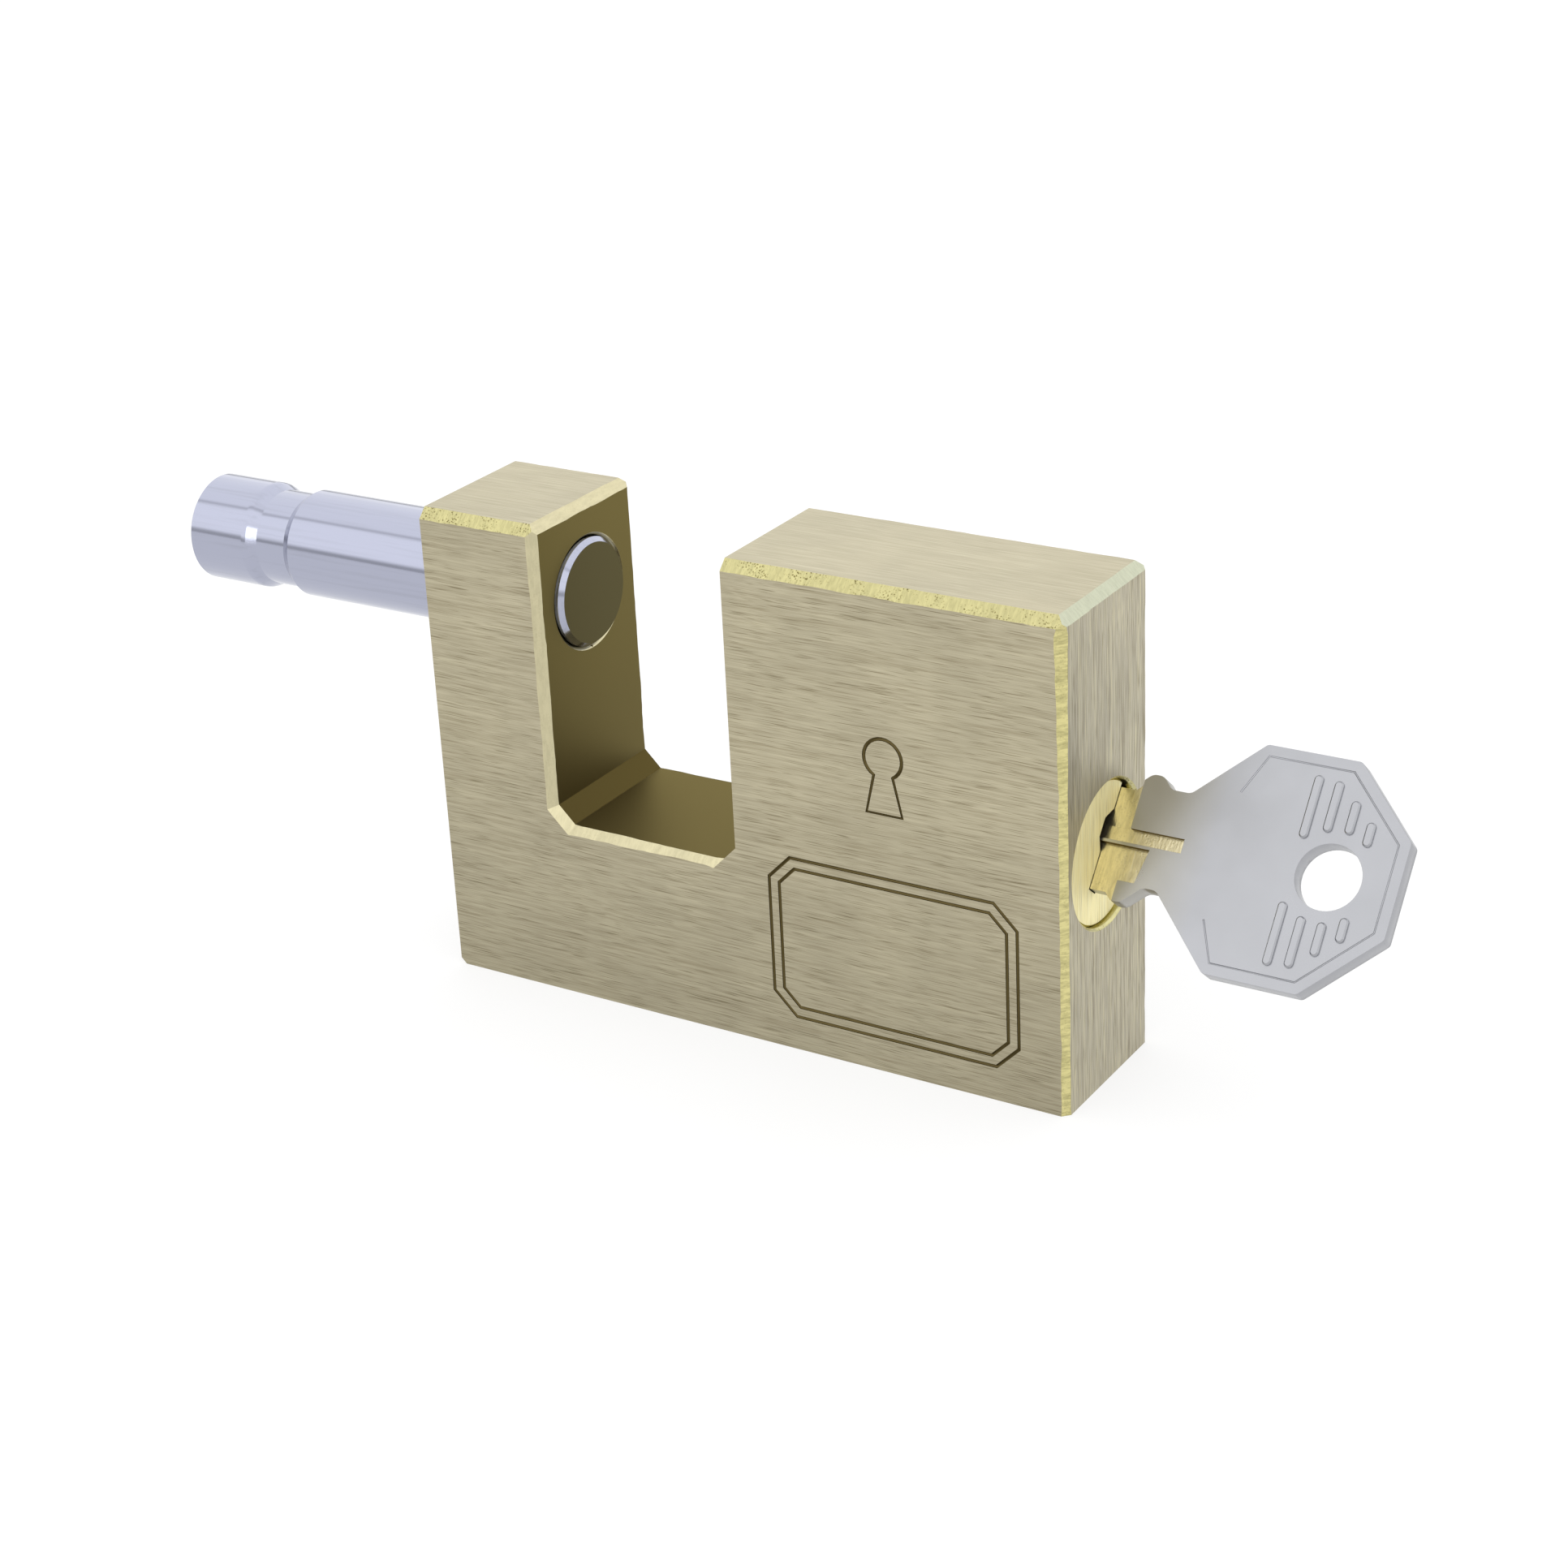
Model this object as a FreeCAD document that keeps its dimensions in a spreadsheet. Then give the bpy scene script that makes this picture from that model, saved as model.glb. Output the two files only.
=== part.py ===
"""Shutter padlock: a solid brass U-shaped body with a sliding steel bar and a five-pin cylinder.

The bar crosses the slot between the narrow post and the wide block, and goes through the eye of a
shutter rail. Turning the key lifts a catch into a groove round the bar. The lock is modelled open: the
bar is drawn out to the left, and the key is in the plug, part way round.

Millimetres. X runs from the bar end to the key end, Y from front to back, and Z is up. The origin is
the middle of the body's bottom face.
"""
import FreeCAD, Part
import math
import os
from types import SimpleNamespace

import Sketcher

SIZES = [
    ("post_width", 13.5, "narrow post that guides the bar"),
    ("slot_width", 21.2, "gap for the shutter eye"),
    ("slot_depth", 31.0, "gap, from the top face down"),
    ("slot_corner", 1.8, "45 degree flats in the bottom corners of the gap"),
    ("mouth_chamfer", 0.9, "top edge of the post at the gap"),
    ("end_chamfer", 0.9, "top edge of the block at the key end"),
    ("top_chamfer", 1.0, "long top edges, front and back"),
    ("slot_chamfer", 0.85, "edges of the gap, front and back"),
    ("upright_chamfer", 0.7, "upright edges at the key end"),
    ("heel_chamfer", 0.6, "bottom edge at the bar end"),
    ("bar_diameter", 11.0, "steel bar"),
    ("top_wall", 3.7, "brass above the bar bore"),
    ("bar_clearance", 0.1, "bar to its bore, all round"),
    ("bar_proud", 0.6, "inner end past the post when drawn out"),
    ("bar_end_gap", 1.0, "inner end to the bottom of the blind bore when shut"),
    ("bar_end_chamfer", 0.45, "both ends of the bar"),
    ("bore_chamfer", 0.3, "mouths of the bar bore"),
    ("groove_inset", 0.2, "outer groove inside the post when the bar is shut"),
    ("groove_shoulder", 1.3, "sloped side of the groove next to the head"),
    ("groove_floor", 3.6, "width of the groove floor"),
    ("groove_ramp", 1.0, "cone from the groove floor to the shaft"),
    ("groove_depth", 0.6, "groove below the bar surface"),
    ("groove_blend", 1.2, "radius that rounds the shoulder in sight"),
    ("plug_diameter", 14.0, "cylinder plug"),
    ("plug_wall", 1.45, "brass left beside the plug bore, front and back"),
    ("bore_web", 4.05, "brass between the bar bore and the plug bore"),
    ("plug_recess", 0.6, "plug face below the end face"),
    ("plug_clearance", 0.05, "plug to its bore, all round"),
    ("plug_chamfer", 0.25, "mouth of the plug bore"),
    ("plug_edge", 0.2, "front edge of the plug"),
    ("first_pin", 5.0, "plug face to the first pin"),
    ("pin_pitch", 3.8, "pin to pin"),
    ("pin_diameter", 2.8, "key pins and driver pins"),
    ("pin_clearance", 0.05, "pins to their chambers, all round"),
    ("last_pin_room", 3.4, "last pin to the inner end of the plug"),
    ("driver_length", 5.0, "driver pins"),
    ("driver_spring_room", 9.25, "driver springs, compressed"),
    ("cap_length", 2.2, "brass caps that close the drilled holes"),
    ("seat_gap", 0.05, "play between pieces that rest on each other"),
    ("key_thickness", 2.1, "key blank"),
    ("key_clearance", 0.1, "blade to the keyway"),
    ("blade_inset", 0.6, "top edge of the blade below the rim of the plug"),
    ("pin_seat", 3.4, "cut edge of the blade inside the rim of the plug"),
    ("chamber_room", 0.7, "plug's pin holes above the tip of the longest pin, less its play"),
    ("tip_gap", 0.8, "key tip to the inner end of the plug"),
    ("tip_slope", 2.6, "slope on the top of the tip"),
    ("cut_flat", 1.1, "flat bottom of each key cut"),
    ("stop_start", 1.6, "plug face to the foot of the stop humps"),
    ("stop_rise", 1.55, "upper stop hump above the blade"),
    ("stop_drop", 0.8, "lower stop hump below the blade"),
    ("stop_width", 1.1, "flat crest of the humps"),
    ("neck_start", 5.3, "plug face to the waist of the key"),
    ("neck_rise", 0.45, "top of the waist above the blade"),
    ("neck_lift", 0.95, "bottom of the waist above the cut edge of the blade"),
    ("waist_flat", 1.335, "straight bottom of the waist"),
    ("waist_blend", 1.0, "radius in the waist and on the humps"),
    ("bow_drop", 0.3, "middle of the bow below the middle of the waist"),
    ("bow_reach", 10.9, "middle of the bow to each flat of the octagon"),
    ("bow_blend", 0.6, "rounded corners of the bow"),
    ("ring_hole", 6.2, "hole for the key ring"),
    ("ring_hole_offset", 4.4, "key ring hole beyond the middle of the bow"),
    ("groove_low", 1.2, "lower side of the key's long groove above the plug axis"),
    ("groove_high", 2.55, "upper side of the key's long groove above the plug axis"),
    ("groove_reach", 7.9, "long groove past the plug face"),
    ("groove_cut", 0.55, "depth of the long groove"),
    ("upper_reach", 2.5, "upper milled flat past the plug face"),
    ("upper_cut", 0.9, "depth of the upper milled flat"),
    ("lower_reach", 4.9, "lower milled flat past the plug face"),
    ("lower_high", 0.9, "upper side of the lower milled flat above the plug axis"),
    ("lower_lip", 2.4, "lower side of the lower flat below the plug axis"),
    ("lower_cut", 0.7, "depth of the lower milled flat"),
    ("keyway_bulge", 0.4, "extra width of the keyway beside the long groove"),
    ("shown_turn", 40.0, "degrees from key upright to the key as it stands here"),
    ("cam_thickness", 2.15, "disc of the cam"),
    ("cam_clearance", 0.4, "cam disc to the plug bore"),
    ("cam_gap", 0.2, "cam disc to the bottom of the plug bore"),
    ("lug_height", 2.4, "drive lugs of the cam"),
    ("lug_depth", 1.8, "drive lugs of the cam"),
    ("lug_inner", 1.9, "plug axis to the near side of a drive lug"),
    ("lug_inset", 1.0, "far side of a drive lug inside the rim of the plug"),
    ("crank_offset", 1.5, "crank pin off the plug axis"),
    ("crank_diameter", 2.0, "crank pin"),
    ("crank_play", 0.1, "crank pin to the sides of the catch slot"),
    ("crank_room", 0.4, "crank pin to the wall of its pocket"),
    ("catch_wall", 2.15, "brass between the gap and the catch hole"),
    ("bore_wall", 1.45, "brass between the catch hole and the plug bore"),
    ("catch_diameter", 5.0, "catch"),
    ("catch_clearance", 0.05, "catch to its hole, all round"),
    ("catch_foot_depth", 7.15, "foot of the catch below the middle of its crank slot"),
    ("catch_bite", 0.5, "catch into the groove"),
    ("catch_crown", 0.55, "crown of the catch above the bottom of its saddle"),
    ("catch_web", 1.25, "metal left behind the crank slot"),
    ("nose_face", 0.7, "catch axis to the flat face of its nose"),
    ("nose_gap", 0.2, "flat face of the nose to the shoulder of the shut bar"),
    ("nose_height", 2.7, "nose of the catch below the crown"),
    ("plunger_diameter", 3.0, "detent plunger"),
    ("plunger_spring_room", 6.4, "detent spring, compressed"),
    ("plunger_clearance", 0.05, "detent plunger to its hole, all round"),
    ("keeper_diameter", 1.8, "pin that keeps the plug in"),
    ("keeper_inset", 2.2, "plug face to the keeper pin"),
    ("keeper_bite", 1.5, "keeper pin into the rim of the plug"),
    ("keeper_rise", 2.0, "top of the keeper pin above the plug axis"),
    ("keeper_play", 0.1, "keeper pin to the groove in the plug"),
    ("spring_wire", 0.36, "driver spring wire"),
    ("spring_pitch", 2.6, "driver spring, turn to turn"),
    ("spring_side_gap", 0.12, "springs to the wall of their holes"),
    ("long_spring_wire", 0.5, "catch spring and detent spring wire"),
    ("long_spring_pitch", 2.8, "catch spring and detent spring, turn to turn"),
]
KEY_CUTS = [0.8, 1.6, 0.4, 1.8, 1.1]
HOME_CRANK_ANGLE = 45.0
WIRE_SIDES = 4
CHORDS_PER_TURN = 6
MITRED = 1
OVERCUT = 1.0
BOW_START = 0.5
OCTAGON_HALF_SIDE = math.sqrt(2.0) - 1.0
HALF_ROOT = math.sqrt(0.5)

doc = FreeCAD.newDocument("ShutterPadlock")
sheet = doc.addObject("Spreadsheet::Sheet", "Sizes")
for row, (alias, value, note) in enumerate(SIZES, start=1):
    sheet.set(f"A{row}", alias)
    sheet.set(f"B{row}", str(value))
    sheet.setAlias(f"B{row}", alias)
    sheet.set(f"C{row}", note)
doc.recompute()


class Term:
    """A length together with the spreadsheet formula that it comes from."""

    def __init__(self, value, formula):
        self.value = value
        self.formula = formula

    def joined(self, other, sign, value):
        return Term(value, f"({self.formula} {sign} {term(other).formula})")

    def __add__(self, other):
        return self.joined(other, "+", self.value + term(other).value)

    def __sub__(self, other):
        return self.joined(other, "-", self.value - term(other).value)

    def __mul__(self, other):
        return self.joined(other, "*", self.value * term(other).value)

    def __truediv__(self, other):
        return self.joined(other, "/", self.value / term(other).value)

    def __neg__(self):
        return Term(-self.value, f"(0 - {self.formula})")


def term(thing):
    return thing if isinstance(thing, Term) else Term(float(thing), repr(float(thing)))


size = SimpleNamespace(**{alias: Term(sheet.get(alias), f"Sizes.{alias}") for alias, _, _ in SIZES})

# Places that several pieces share

pin_radius = size.pin_diameter / 2
chamber_radius = pin_radius + size.pin_clearance
pin_count = len(KEY_CUTS)
plug_length = size.first_pin + size.pin_pitch * (pin_count - 1) + size.last_pin_room
plug_radius = size.plug_diameter / 2
plug_bore_radius = plug_radius + size.plug_clearance
bar_radius = size.bar_diameter / 2
groove_radius = bar_radius - size.groove_depth
bar_bore_radius = bar_radius + size.bar_clearance
catch_radius = size.catch_diameter / 2
catch_hole_radius = catch_radius + size.catch_clearance

driver_top = size.cap_length + size.driver_spring_room + size.driver_length
plug_height = driver_top + plug_bore_radius
bar_height = plug_height + plug_bore_radius + size.bore_web + bar_bore_radius
body_height = bar_height + bar_bore_radius + size.top_wall
body_thickness = (plug_bore_radius + size.plug_wall) * 2

cam_space = size.cam_gap + size.cam_thickness + size.seat_gap
block_width = (size.catch_wall + catch_hole_radius * 2 + size.bore_wall + cam_space + plug_length
               + size.plug_recess)
body_length = size.post_width + size.slot_width + block_width
left_face = -body_length / 2
right_face = body_length / 2
slot_left = left_face + size.post_width
slot_right = slot_left + size.slot_width
slot_floor = body_height - size.slot_depth

groove_length = size.groove_shoulder + size.groove_floor + size.groove_ramp
head_length = size.post_width - size.groove_inset - groove_length
catch_axis = slot_right + size.catch_wall + catch_hole_radius
bar_shut_end = catch_axis - size.nose_face + size.nose_gap + size.groove_shoulder + head_length
bar_length = bar_shut_end - left_face
bar_bore_end = bar_shut_end + size.bar_end_gap
bar_inner_end = slot_left + size.bar_proud

plug_bore_end = catch_axis + catch_hole_radius + size.bore_wall
plug_end = plug_bore_end + cam_space
plug_face = right_face - size.plug_recess
pin_places = [plug_face - size.first_pin - size.pin_pitch * number for number in range(pin_count)]

half_key = size.key_thickness / 2
blade_top = plug_radius - size.blade_inset
stop_top = blade_top + size.stop_rise
blade_bottom = plug_radius - size.pin_seat
stop_bottom = blade_bottom + size.stop_drop
neck_top = blade_top + size.neck_rise
neck_bottom = blade_bottom - size.neck_lift
half_side = size.bow_reach * OCTAGON_HALF_SIDE
bow_rise = (neck_top - neck_bottom) / 2 - size.bow_drop
bow_top = bow_rise + size.bow_reach
bow_bottom = bow_rise - size.bow_reach
waist = plug_face + size.neck_start
bow_foot = waist + size.waist_flat
bow_centre = bow_foot - neck_bottom - bow_bottom + half_side

saddle_radius = bar_radius - size.catch_bite
catch_top = bar_height - saddle_radius + size.catch_crown
crank_radius = size.crank_diameter / 2
crank_end = catch_axis - catch_radius + size.catch_web + size.crank_play
crank_pocket_end = crank_end - size.crank_room
crank_home_height = plug_height + size.crank_offset * HALF_ROOT
catch_foot = crank_home_height - size.catch_foot_depth

plunger_radius = size.plunger_diameter / 2
plunger_hole_radius = plunger_radius + size.plunger_clearance
plunger_axis = bar_inner_end - head_length - size.groove_shoulder - size.groove_floor / 2
plunger_top = bar_height - bar_radius - size.seat_gap
plunger_foot = size.cap_length + size.plunger_spring_room

keeper_radius = size.keeper_diameter / 2
keeper_axis = plug_face - size.keeper_inset
keeper_side = plug_radius + keeper_radius - size.keeper_bite

# How far the catch hangs below its locked place at the turn that the key is shown at
shown_crank = math.radians(HOME_CRANK_ANGLE - size.shown_turn.value)
catch_drop = size.crank_offset.value * (HALF_ROOT - math.sin(shown_crank))


# Small helpers for bodies, sketches and features

def new_body(label):
    body = doc.addObject("PartDesign::Body", label)
    body.Label = label
    return body


def new_sketch(body, plane, name, shift=(0, 0, 0)):
    """Sketch on one of the body's own planes, moved by three lengths in the sketch's own directions."""
    sketch = body.newObject("Sketcher::SketchObject", name)
    origin_plane = next(item for item in body.Origin.OriginFeatures if item.Role == plane)
    sketch.AttachmentSupport = [(origin_plane, "")]
    sketch.MapMode = "FlatFace"
    for letter, length in zip("xyz", shift):
        sketch.setExpression(f"AttachmentOffset.Base.{letter}", term(length).formula)
    return sketch


def pin_point(sketch, line, x, y):
    """Fix the start of a line, or the centre of a circle, to two lengths from the sketch's origin."""
    place = 3 if isinstance(sketch.Geometry[line], Part.Circle) else 1
    for kind, length, axis in (("DistanceX", term(x), -2), ("DistanceY", term(y), -1)):
        if length.value == 0.0 and "Sizes" not in length.formula:
            sketch.addConstraint(Sketcher.Constraint("PointOnObject", line, place, axis))
        else:
            number = sketch.addConstraint(Sketcher.Constraint(kind, -1, 1, line, place, length.value))
            sketch.setExpression(f"Constraints[{number}]", length.formula)


def add_outline(sketch, points):
    """Closed outline of straight lines through points that are each bound to the sheet."""
    corners = [FreeCAD.Vector(term(x).value, term(y).value, 0) for x, y in points]
    first = sketch.GeometryCount
    for here, there in zip(corners, corners[1:] + corners[:1]):
        sketch.addGeometry(Part.LineSegment(here, there), False)
    last = sketch.GeometryCount - 1
    for line in range(first, last + 1):
        following = first if line == last else line + 1
        sketch.addConstraint(Sketcher.Constraint("Coincident", line, 2, following, 1))
    for offset, (x, y) in enumerate(points):
        pin_point(sketch, first + offset, x, y)
    return sketch


def add_circle(sketch, x, y, radius):
    centre = FreeCAD.Vector(term(x).value, term(y).value, 0)
    circle = Part.Circle(centre, FreeCAD.Vector(0, 0, 1), radius.value)
    line = sketch.addGeometry(circle, False)
    number = sketch.addConstraint(Sketcher.Constraint("Radius", line, radius.value))
    sketch.setExpression(f"Constraints[{number}]", radius.formula)
    pin_point(sketch, line, x, y)
    return sketch


def box_points(x_low, y_low, x_high, y_high):
    return [(x_low, y_low), (x_high, y_low), (x_high, y_high), (x_low, y_high)]


def extrude(body, kind, sketch, length, reverse=False, both_ways=False):
    """Pad or pocket a sketch. A pocket runs against the sketch's normal unless it is reversed."""
    feature = body.newObject(f"PartDesign::{kind}", f"{sketch.Name}_{kind.lower()}")
    feature.Profile = sketch
    feature.setExpression("Length", term(length).formula)
    feature.Reversed = reverse
    feature.Midplane = both_ways
    sketch.Visibility = False
    doc.recompute()
    return feature


def turn(body, kind, sketch, axis="H_Axis"):
    """Revolution or groove through a full turn about one of the sketch's own axes."""
    feature = body.newObject(f"PartDesign::{kind}", f"{sketch.Name}_{kind.lower()}")
    feature.Profile = sketch
    feature.ReferenceAxis = (sketch, [axis])
    feature.Angle = 360.0
    sketch.Visibility = False
    doc.recompute()
    return feature


def dress(body, kind, edges, length, name):
    """Chamfer or fillet the named edges of the body's last feature."""
    feature = body.newObject(f"PartDesign::{kind}", name)
    feature.Base = (feature.BaseFeature, edges)
    feature.setExpression("Size" if kind == "Chamfer" else "Radius", term(length).formula)
    doc.recompute()
    return feature


def edges_where(shape, test):
    """Names of the edges whose two ends and middle all pass a test."""
    names = []
    for number, edge in enumerate(shape.Edges, start=1):
        middle = edge.valueAt((edge.FirstParameter + edge.LastParameter) / 2)
        spots = [vertex.Point for vertex in edge.Vertexes] + [middle]
        if all(test(spot) for spot in spots):
            names.append(f"Edge{number}")
    return names


def near(a, b):
    return abs(a - term(b).value) < 1e-4


def turned_piece(label, points, axis="V_Axis", shift=(0, 0, 0)):
    """A piece made on a lathe: a half outline turned about the sketch's own axis."""
    body = new_body(label)
    sketch = new_sketch(body, "XZ_Plane", f"{label}_profile", shift)
    add_outline(sketch, points)
    turn(body, "Revolution", sketch, axis)
    return body


def place(body, x=0, z=0, with_plug=False):
    """Put a piece in the lock. What turns with the plug is tipped about the plug axis."""
    if with_plug:
        spin = FreeCAD.Rotation(FreeCAD.Vector(-1, 0, 0), size.shown_turn.value)
        body.Placement = FreeCAD.Placement(FreeCAD.Vector(0, 0, 0), spin)
        body.setExpression("Placement.Rotation.Angle", size.shown_turn.formula)
    body.setExpression("Placement.Base.x", term(x).formula)
    body.setExpression("Placement.Base.z", term(z).formula)
    doc.recompute()


def hole_points(radius, bottom, top):
    """Half outline of a drilled hole from below its mouth up to its end."""
    return [(0, bottom - OVERCUT), (radius, bottom - OVERCUT), (radius, top), (0, top)]


# Lock body: one block of brass, sawn from bar, with the gap milled and every hole drilled

def build_lock_body():
    body = new_body("lock_body")
    face = new_sketch(body, "XZ_Plane", "body_front")
    add_outline(face, [
        (left_face + size.heel_chamfer, 0), (right_face, 0),
        (right_face, body_height - size.end_chamfer),
        (right_face - size.end_chamfer, body_height),
        (slot_right, body_height), (slot_right, slot_floor + size.slot_corner),
        (slot_right - size.slot_corner, slot_floor), (slot_left + size.slot_corner, slot_floor),
        (slot_left, slot_floor + size.slot_corner),
        (slot_left, body_height - size.mouth_chamfer),
        (slot_left - size.mouth_chamfer, body_height), (left_face, body_height),
        (left_face, size.heel_chamfer),
    ])
    block = extrude(body, "Pad", face, body_thickness, both_ways=True)
    half = body_thickness / 2

    def on_gap_edge(spot):
        on_face = near(abs(spot.y), half)
        in_gap = slot_left.value - 1e-4 < spot.x < slot_right.value - 1e-4
        below_mouth = spot.z < body_height.value - size.mouth_chamfer.value + 1e-4
        return on_face and in_gap and below_mouth

    dress(body, "Chamfer", edges_where(block.Shape, on_gap_edge), size.slot_chamfer, "gap_edges")

    upright = edges_where(body.Tip.Shape, lambda spot: near(spot.x, right_face) and near(abs(spot.y), half))
    dress(body, "Chamfer", upright, size.upright_chamfer, "upright_edges")

    top = new_sketch(body, "YZ_Plane", "top_edges", (0, 0, left_face - OVERCUT))
    for side in (-1, 1):
        edge = half * side
        inner = (half - size.top_chamfer) * side
        add_outline(top, [
            (inner, body_height), (edge, body_height - size.top_chamfer),
            (edge + OVERCUT * side, body_height - size.top_chamfer),
            (edge + OVERCUT * side, body_height + OVERCUT), (inner, body_height + OVERCUT),
        ])
    extrude(body, "Pocket", top, body_length + 2 * OVERCUT, reverse=True)

    flare = size.bore_chamfer + OVERCUT
    bar_bore = new_sketch(body, "XZ_Plane", "bar_bore", (0, bar_height, 0))
    add_outline(bar_bore, [
        (left_face - OVERCUT, 0), (left_face - OVERCUT, bar_bore_radius + flare),
        (left_face + size.bore_chamfer, bar_bore_radius),
        (slot_left - size.bore_chamfer, bar_bore_radius),
        (slot_left + OVERCUT, bar_bore_radius + flare),
        (slot_right - OVERCUT, bar_bore_radius + flare),
        (slot_right + size.bore_chamfer, bar_bore_radius),
        (bar_bore_end, bar_bore_radius), (bar_bore_end, 0),
    ])
    turn(body, "Groove", bar_bore)

    plug_bore = new_sketch(body, "XZ_Plane", "plug_bore", (0, plug_height, 0))
    crank_room = size.crank_offset + crank_radius + size.crank_room
    add_outline(plug_bore, [
        (right_face + OVERCUT, 0),
        (right_face + OVERCUT, plug_bore_radius + size.plug_chamfer + OVERCUT),
        (right_face - size.plug_chamfer, plug_bore_radius),
        (plug_bore_end, plug_bore_radius), (plug_bore_end, crank_room),
        (crank_pocket_end, crank_room), (crank_pocket_end, 0),
    ])
    turn(body, "Groove", plug_bore)

    catch_hole = new_sketch(body, "XZ_Plane", "catch_hole", (catch_axis, 0, 0))
    add_outline(catch_hole, hole_points(catch_hole_radius, 0, bar_height))
    turn(body, "Groove", catch_hole, "V_Axis")

    plunger_hole = new_sketch(body, "XZ_Plane", "plunger_hole", (plunger_axis, 0, 0))
    add_outline(plunger_hole, hole_points(plunger_hole_radius, 0, bar_height))
    turn(body, "Groove", plunger_hole, "V_Axis")

    chamber = new_sketch(body, "XZ_Plane", "pin_chamber", (pin_places[0], 0, 0))
    add_outline(chamber, hole_points(chamber_radius, 0, plug_height))
    first = turn(body, "Groove", chamber, "V_Axis")
    row = body.newObject("PartDesign::LinearPattern", "pin_chambers")
    row.Originals = [first]
    row.Direction = (chamber, ["H_Axis"])
    row.Reversed = True
    row.Occurrences = pin_count
    row.setExpression("Length", (size.pin_pitch * (pin_count - 1)).formula)
    body.Tip = row
    doc.recompute()

    keeper = add_circle(new_sketch(body, "XY_Plane", "keeper_hole"), keeper_axis, -keeper_side,
                        keeper_radius)
    extrude(body, "Pocket", keeper, plug_height + size.keeper_rise, reverse=True)
    return body


# Bar: ground steel with a groove near each end. The outer one, in sight, has its shoulder rounded

def build_bar():
    shoulder = head_length + size.groove_shoulder
    floor_end = shoulder + size.groove_floor
    ramp_end = floor_end + size.groove_ramp
    far = bar_length
    points = [
        (0, 0), (0, bar_radius - size.bar_end_chamfer), (size.bar_end_chamfer, bar_radius),
        (head_length, bar_radius), (shoulder, groove_radius), (floor_end, groove_radius),
        (ramp_end, bar_radius), (far - ramp_end, bar_radius), (far - floor_end, groove_radius),
        (far - shoulder, groove_radius), (far - head_length, bar_radius),
        (far - size.bar_end_chamfer, bar_radius), (far, bar_radius - size.bar_end_chamfer), (far, 0),
    ]
    body = turned_piece("locking_bar", points, "H_Axis")
    rim = edges_where(body.Tip.Shape, lambda spot: near(spot.x, head_length))
    dress(body, "Fillet", rim, size.groove_blend, "groove_blend")
    place(body, x=bar_inner_end - bar_length, z=bar_height)
    return body


# Plug: turned brass with the keyway broached, five pin holes drilled and a drive slot across the back

def keyway_points():
    back = half_key + size.key_clearance
    low_front = -(half_key - size.lower_cut + size.key_clearance)
    mid_front = -(half_key + size.key_clearance + size.keyway_bulge)
    top_front = -(half_key - size.upper_cut + size.key_clearance)
    floor = -(blade_bottom + size.key_clearance)
    bulge_low = size.groove_low - size.key_clearance
    bulge_high = size.groove_high + size.keyway_bulge
    return [
        (back, floor), (back, plug_radius + OVERCUT), (top_front, plug_radius + OVERCUT),
        (top_front, bulge_high - (mid_front - top_front)), (mid_front, bulge_high),
        (mid_front, bulge_low), (low_front, bulge_low - (low_front - mid_front)), (low_front, floor),
    ]


def build_plug():
    keeper_floor = keeper_side - keeper_radius - size.keeper_play
    keeper_half = keeper_radius + size.keeper_play
    body = turned_piece("cylinder_plug", [
        (plug_end, 0), (plug_end, plug_radius),
        (keeper_axis - keeper_half, plug_radius), (keeper_axis - keeper_half, keeper_floor),
        (keeper_axis + keeper_half, keeper_floor), (keeper_axis + keeper_half, plug_radius),
        (plug_face - size.plug_edge, plug_radius), (plug_face, plug_radius - size.plug_edge),
        (plug_face, 0),
    ], "H_Axis")
    keyway = add_outline(new_sketch(body, "YZ_Plane", "keyway", (0, 0, plug_face + OVERCUT)),
                         keyway_points())
    extrude(body, "Pocket", keyway, plug_length + 2 * OVERCUT)

    rim = -(plug_radius + OVERCUT)
    chamber_end = -(blade_bottom - max(KEY_CUTS) - size.chamber_room)
    for number, axis in enumerate(pin_places, start=1):
        chamber = new_sketch(body, "XZ_Plane", f"plug_chamber_{number}", (axis, 0, 0))
        add_outline(chamber, box_points(0, rim, chamber_radius, chamber_end))
        turn(body, "Groove", chamber, "V_Axis")

    half_slot = size.lug_height / 2 + size.seat_gap
    slot = new_sketch(body, "XZ_Plane", "drive_slot")
    add_outline(slot, box_points(plug_end - OVERCUT, -half_slot,
                                 plug_end + size.lug_depth + size.seat_gap, half_slot))
    extrude(body, "Pocket", slot, plug_radius * 2 + 2 * OVERCUT, both_ways=True)
    place(body, z=plug_height, with_plug=True)
    return body


# Key: stamped nickel-plated brass, with the blade milled on its front and five cuts along the bottom

def key_outline_points():
    tip = plug_end + size.tip_gap
    stop = plug_face + size.stop_start
    crest = stop + stop_top - blade_top
    lug = stop + stop_bottom - blade_bottom
    far = bow_centre + size.bow_reach
    bow_shoulder = bow_centre - half_side - (bow_top - neck_top)
    ramp = blade_bottom - size.tip_gap
    return [
        (tip, -size.tip_gap), (tip + ramp, -blade_bottom),
        (stop, -blade_bottom), (lug, -stop_bottom),
        (lug + size.stop_width, -stop_bottom),
        (waist, -neck_bottom), (bow_foot, -neck_bottom),
        (bow_centre - half_side, bow_bottom), (bow_centre + half_side, bow_bottom),
        (far, bow_rise - half_side), (far, bow_rise + half_side),
        (bow_centre + half_side, bow_top), (bow_centre - half_side, bow_top),
        (bow_shoulder, neck_top), (waist, neck_top),
        (crest + size.stop_width, stop_top), (crest, stop_top),
        (stop, blade_top), (tip + size.tip_slope, blade_top),
        (tip, blade_top - size.tip_slope),
    ]


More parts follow.
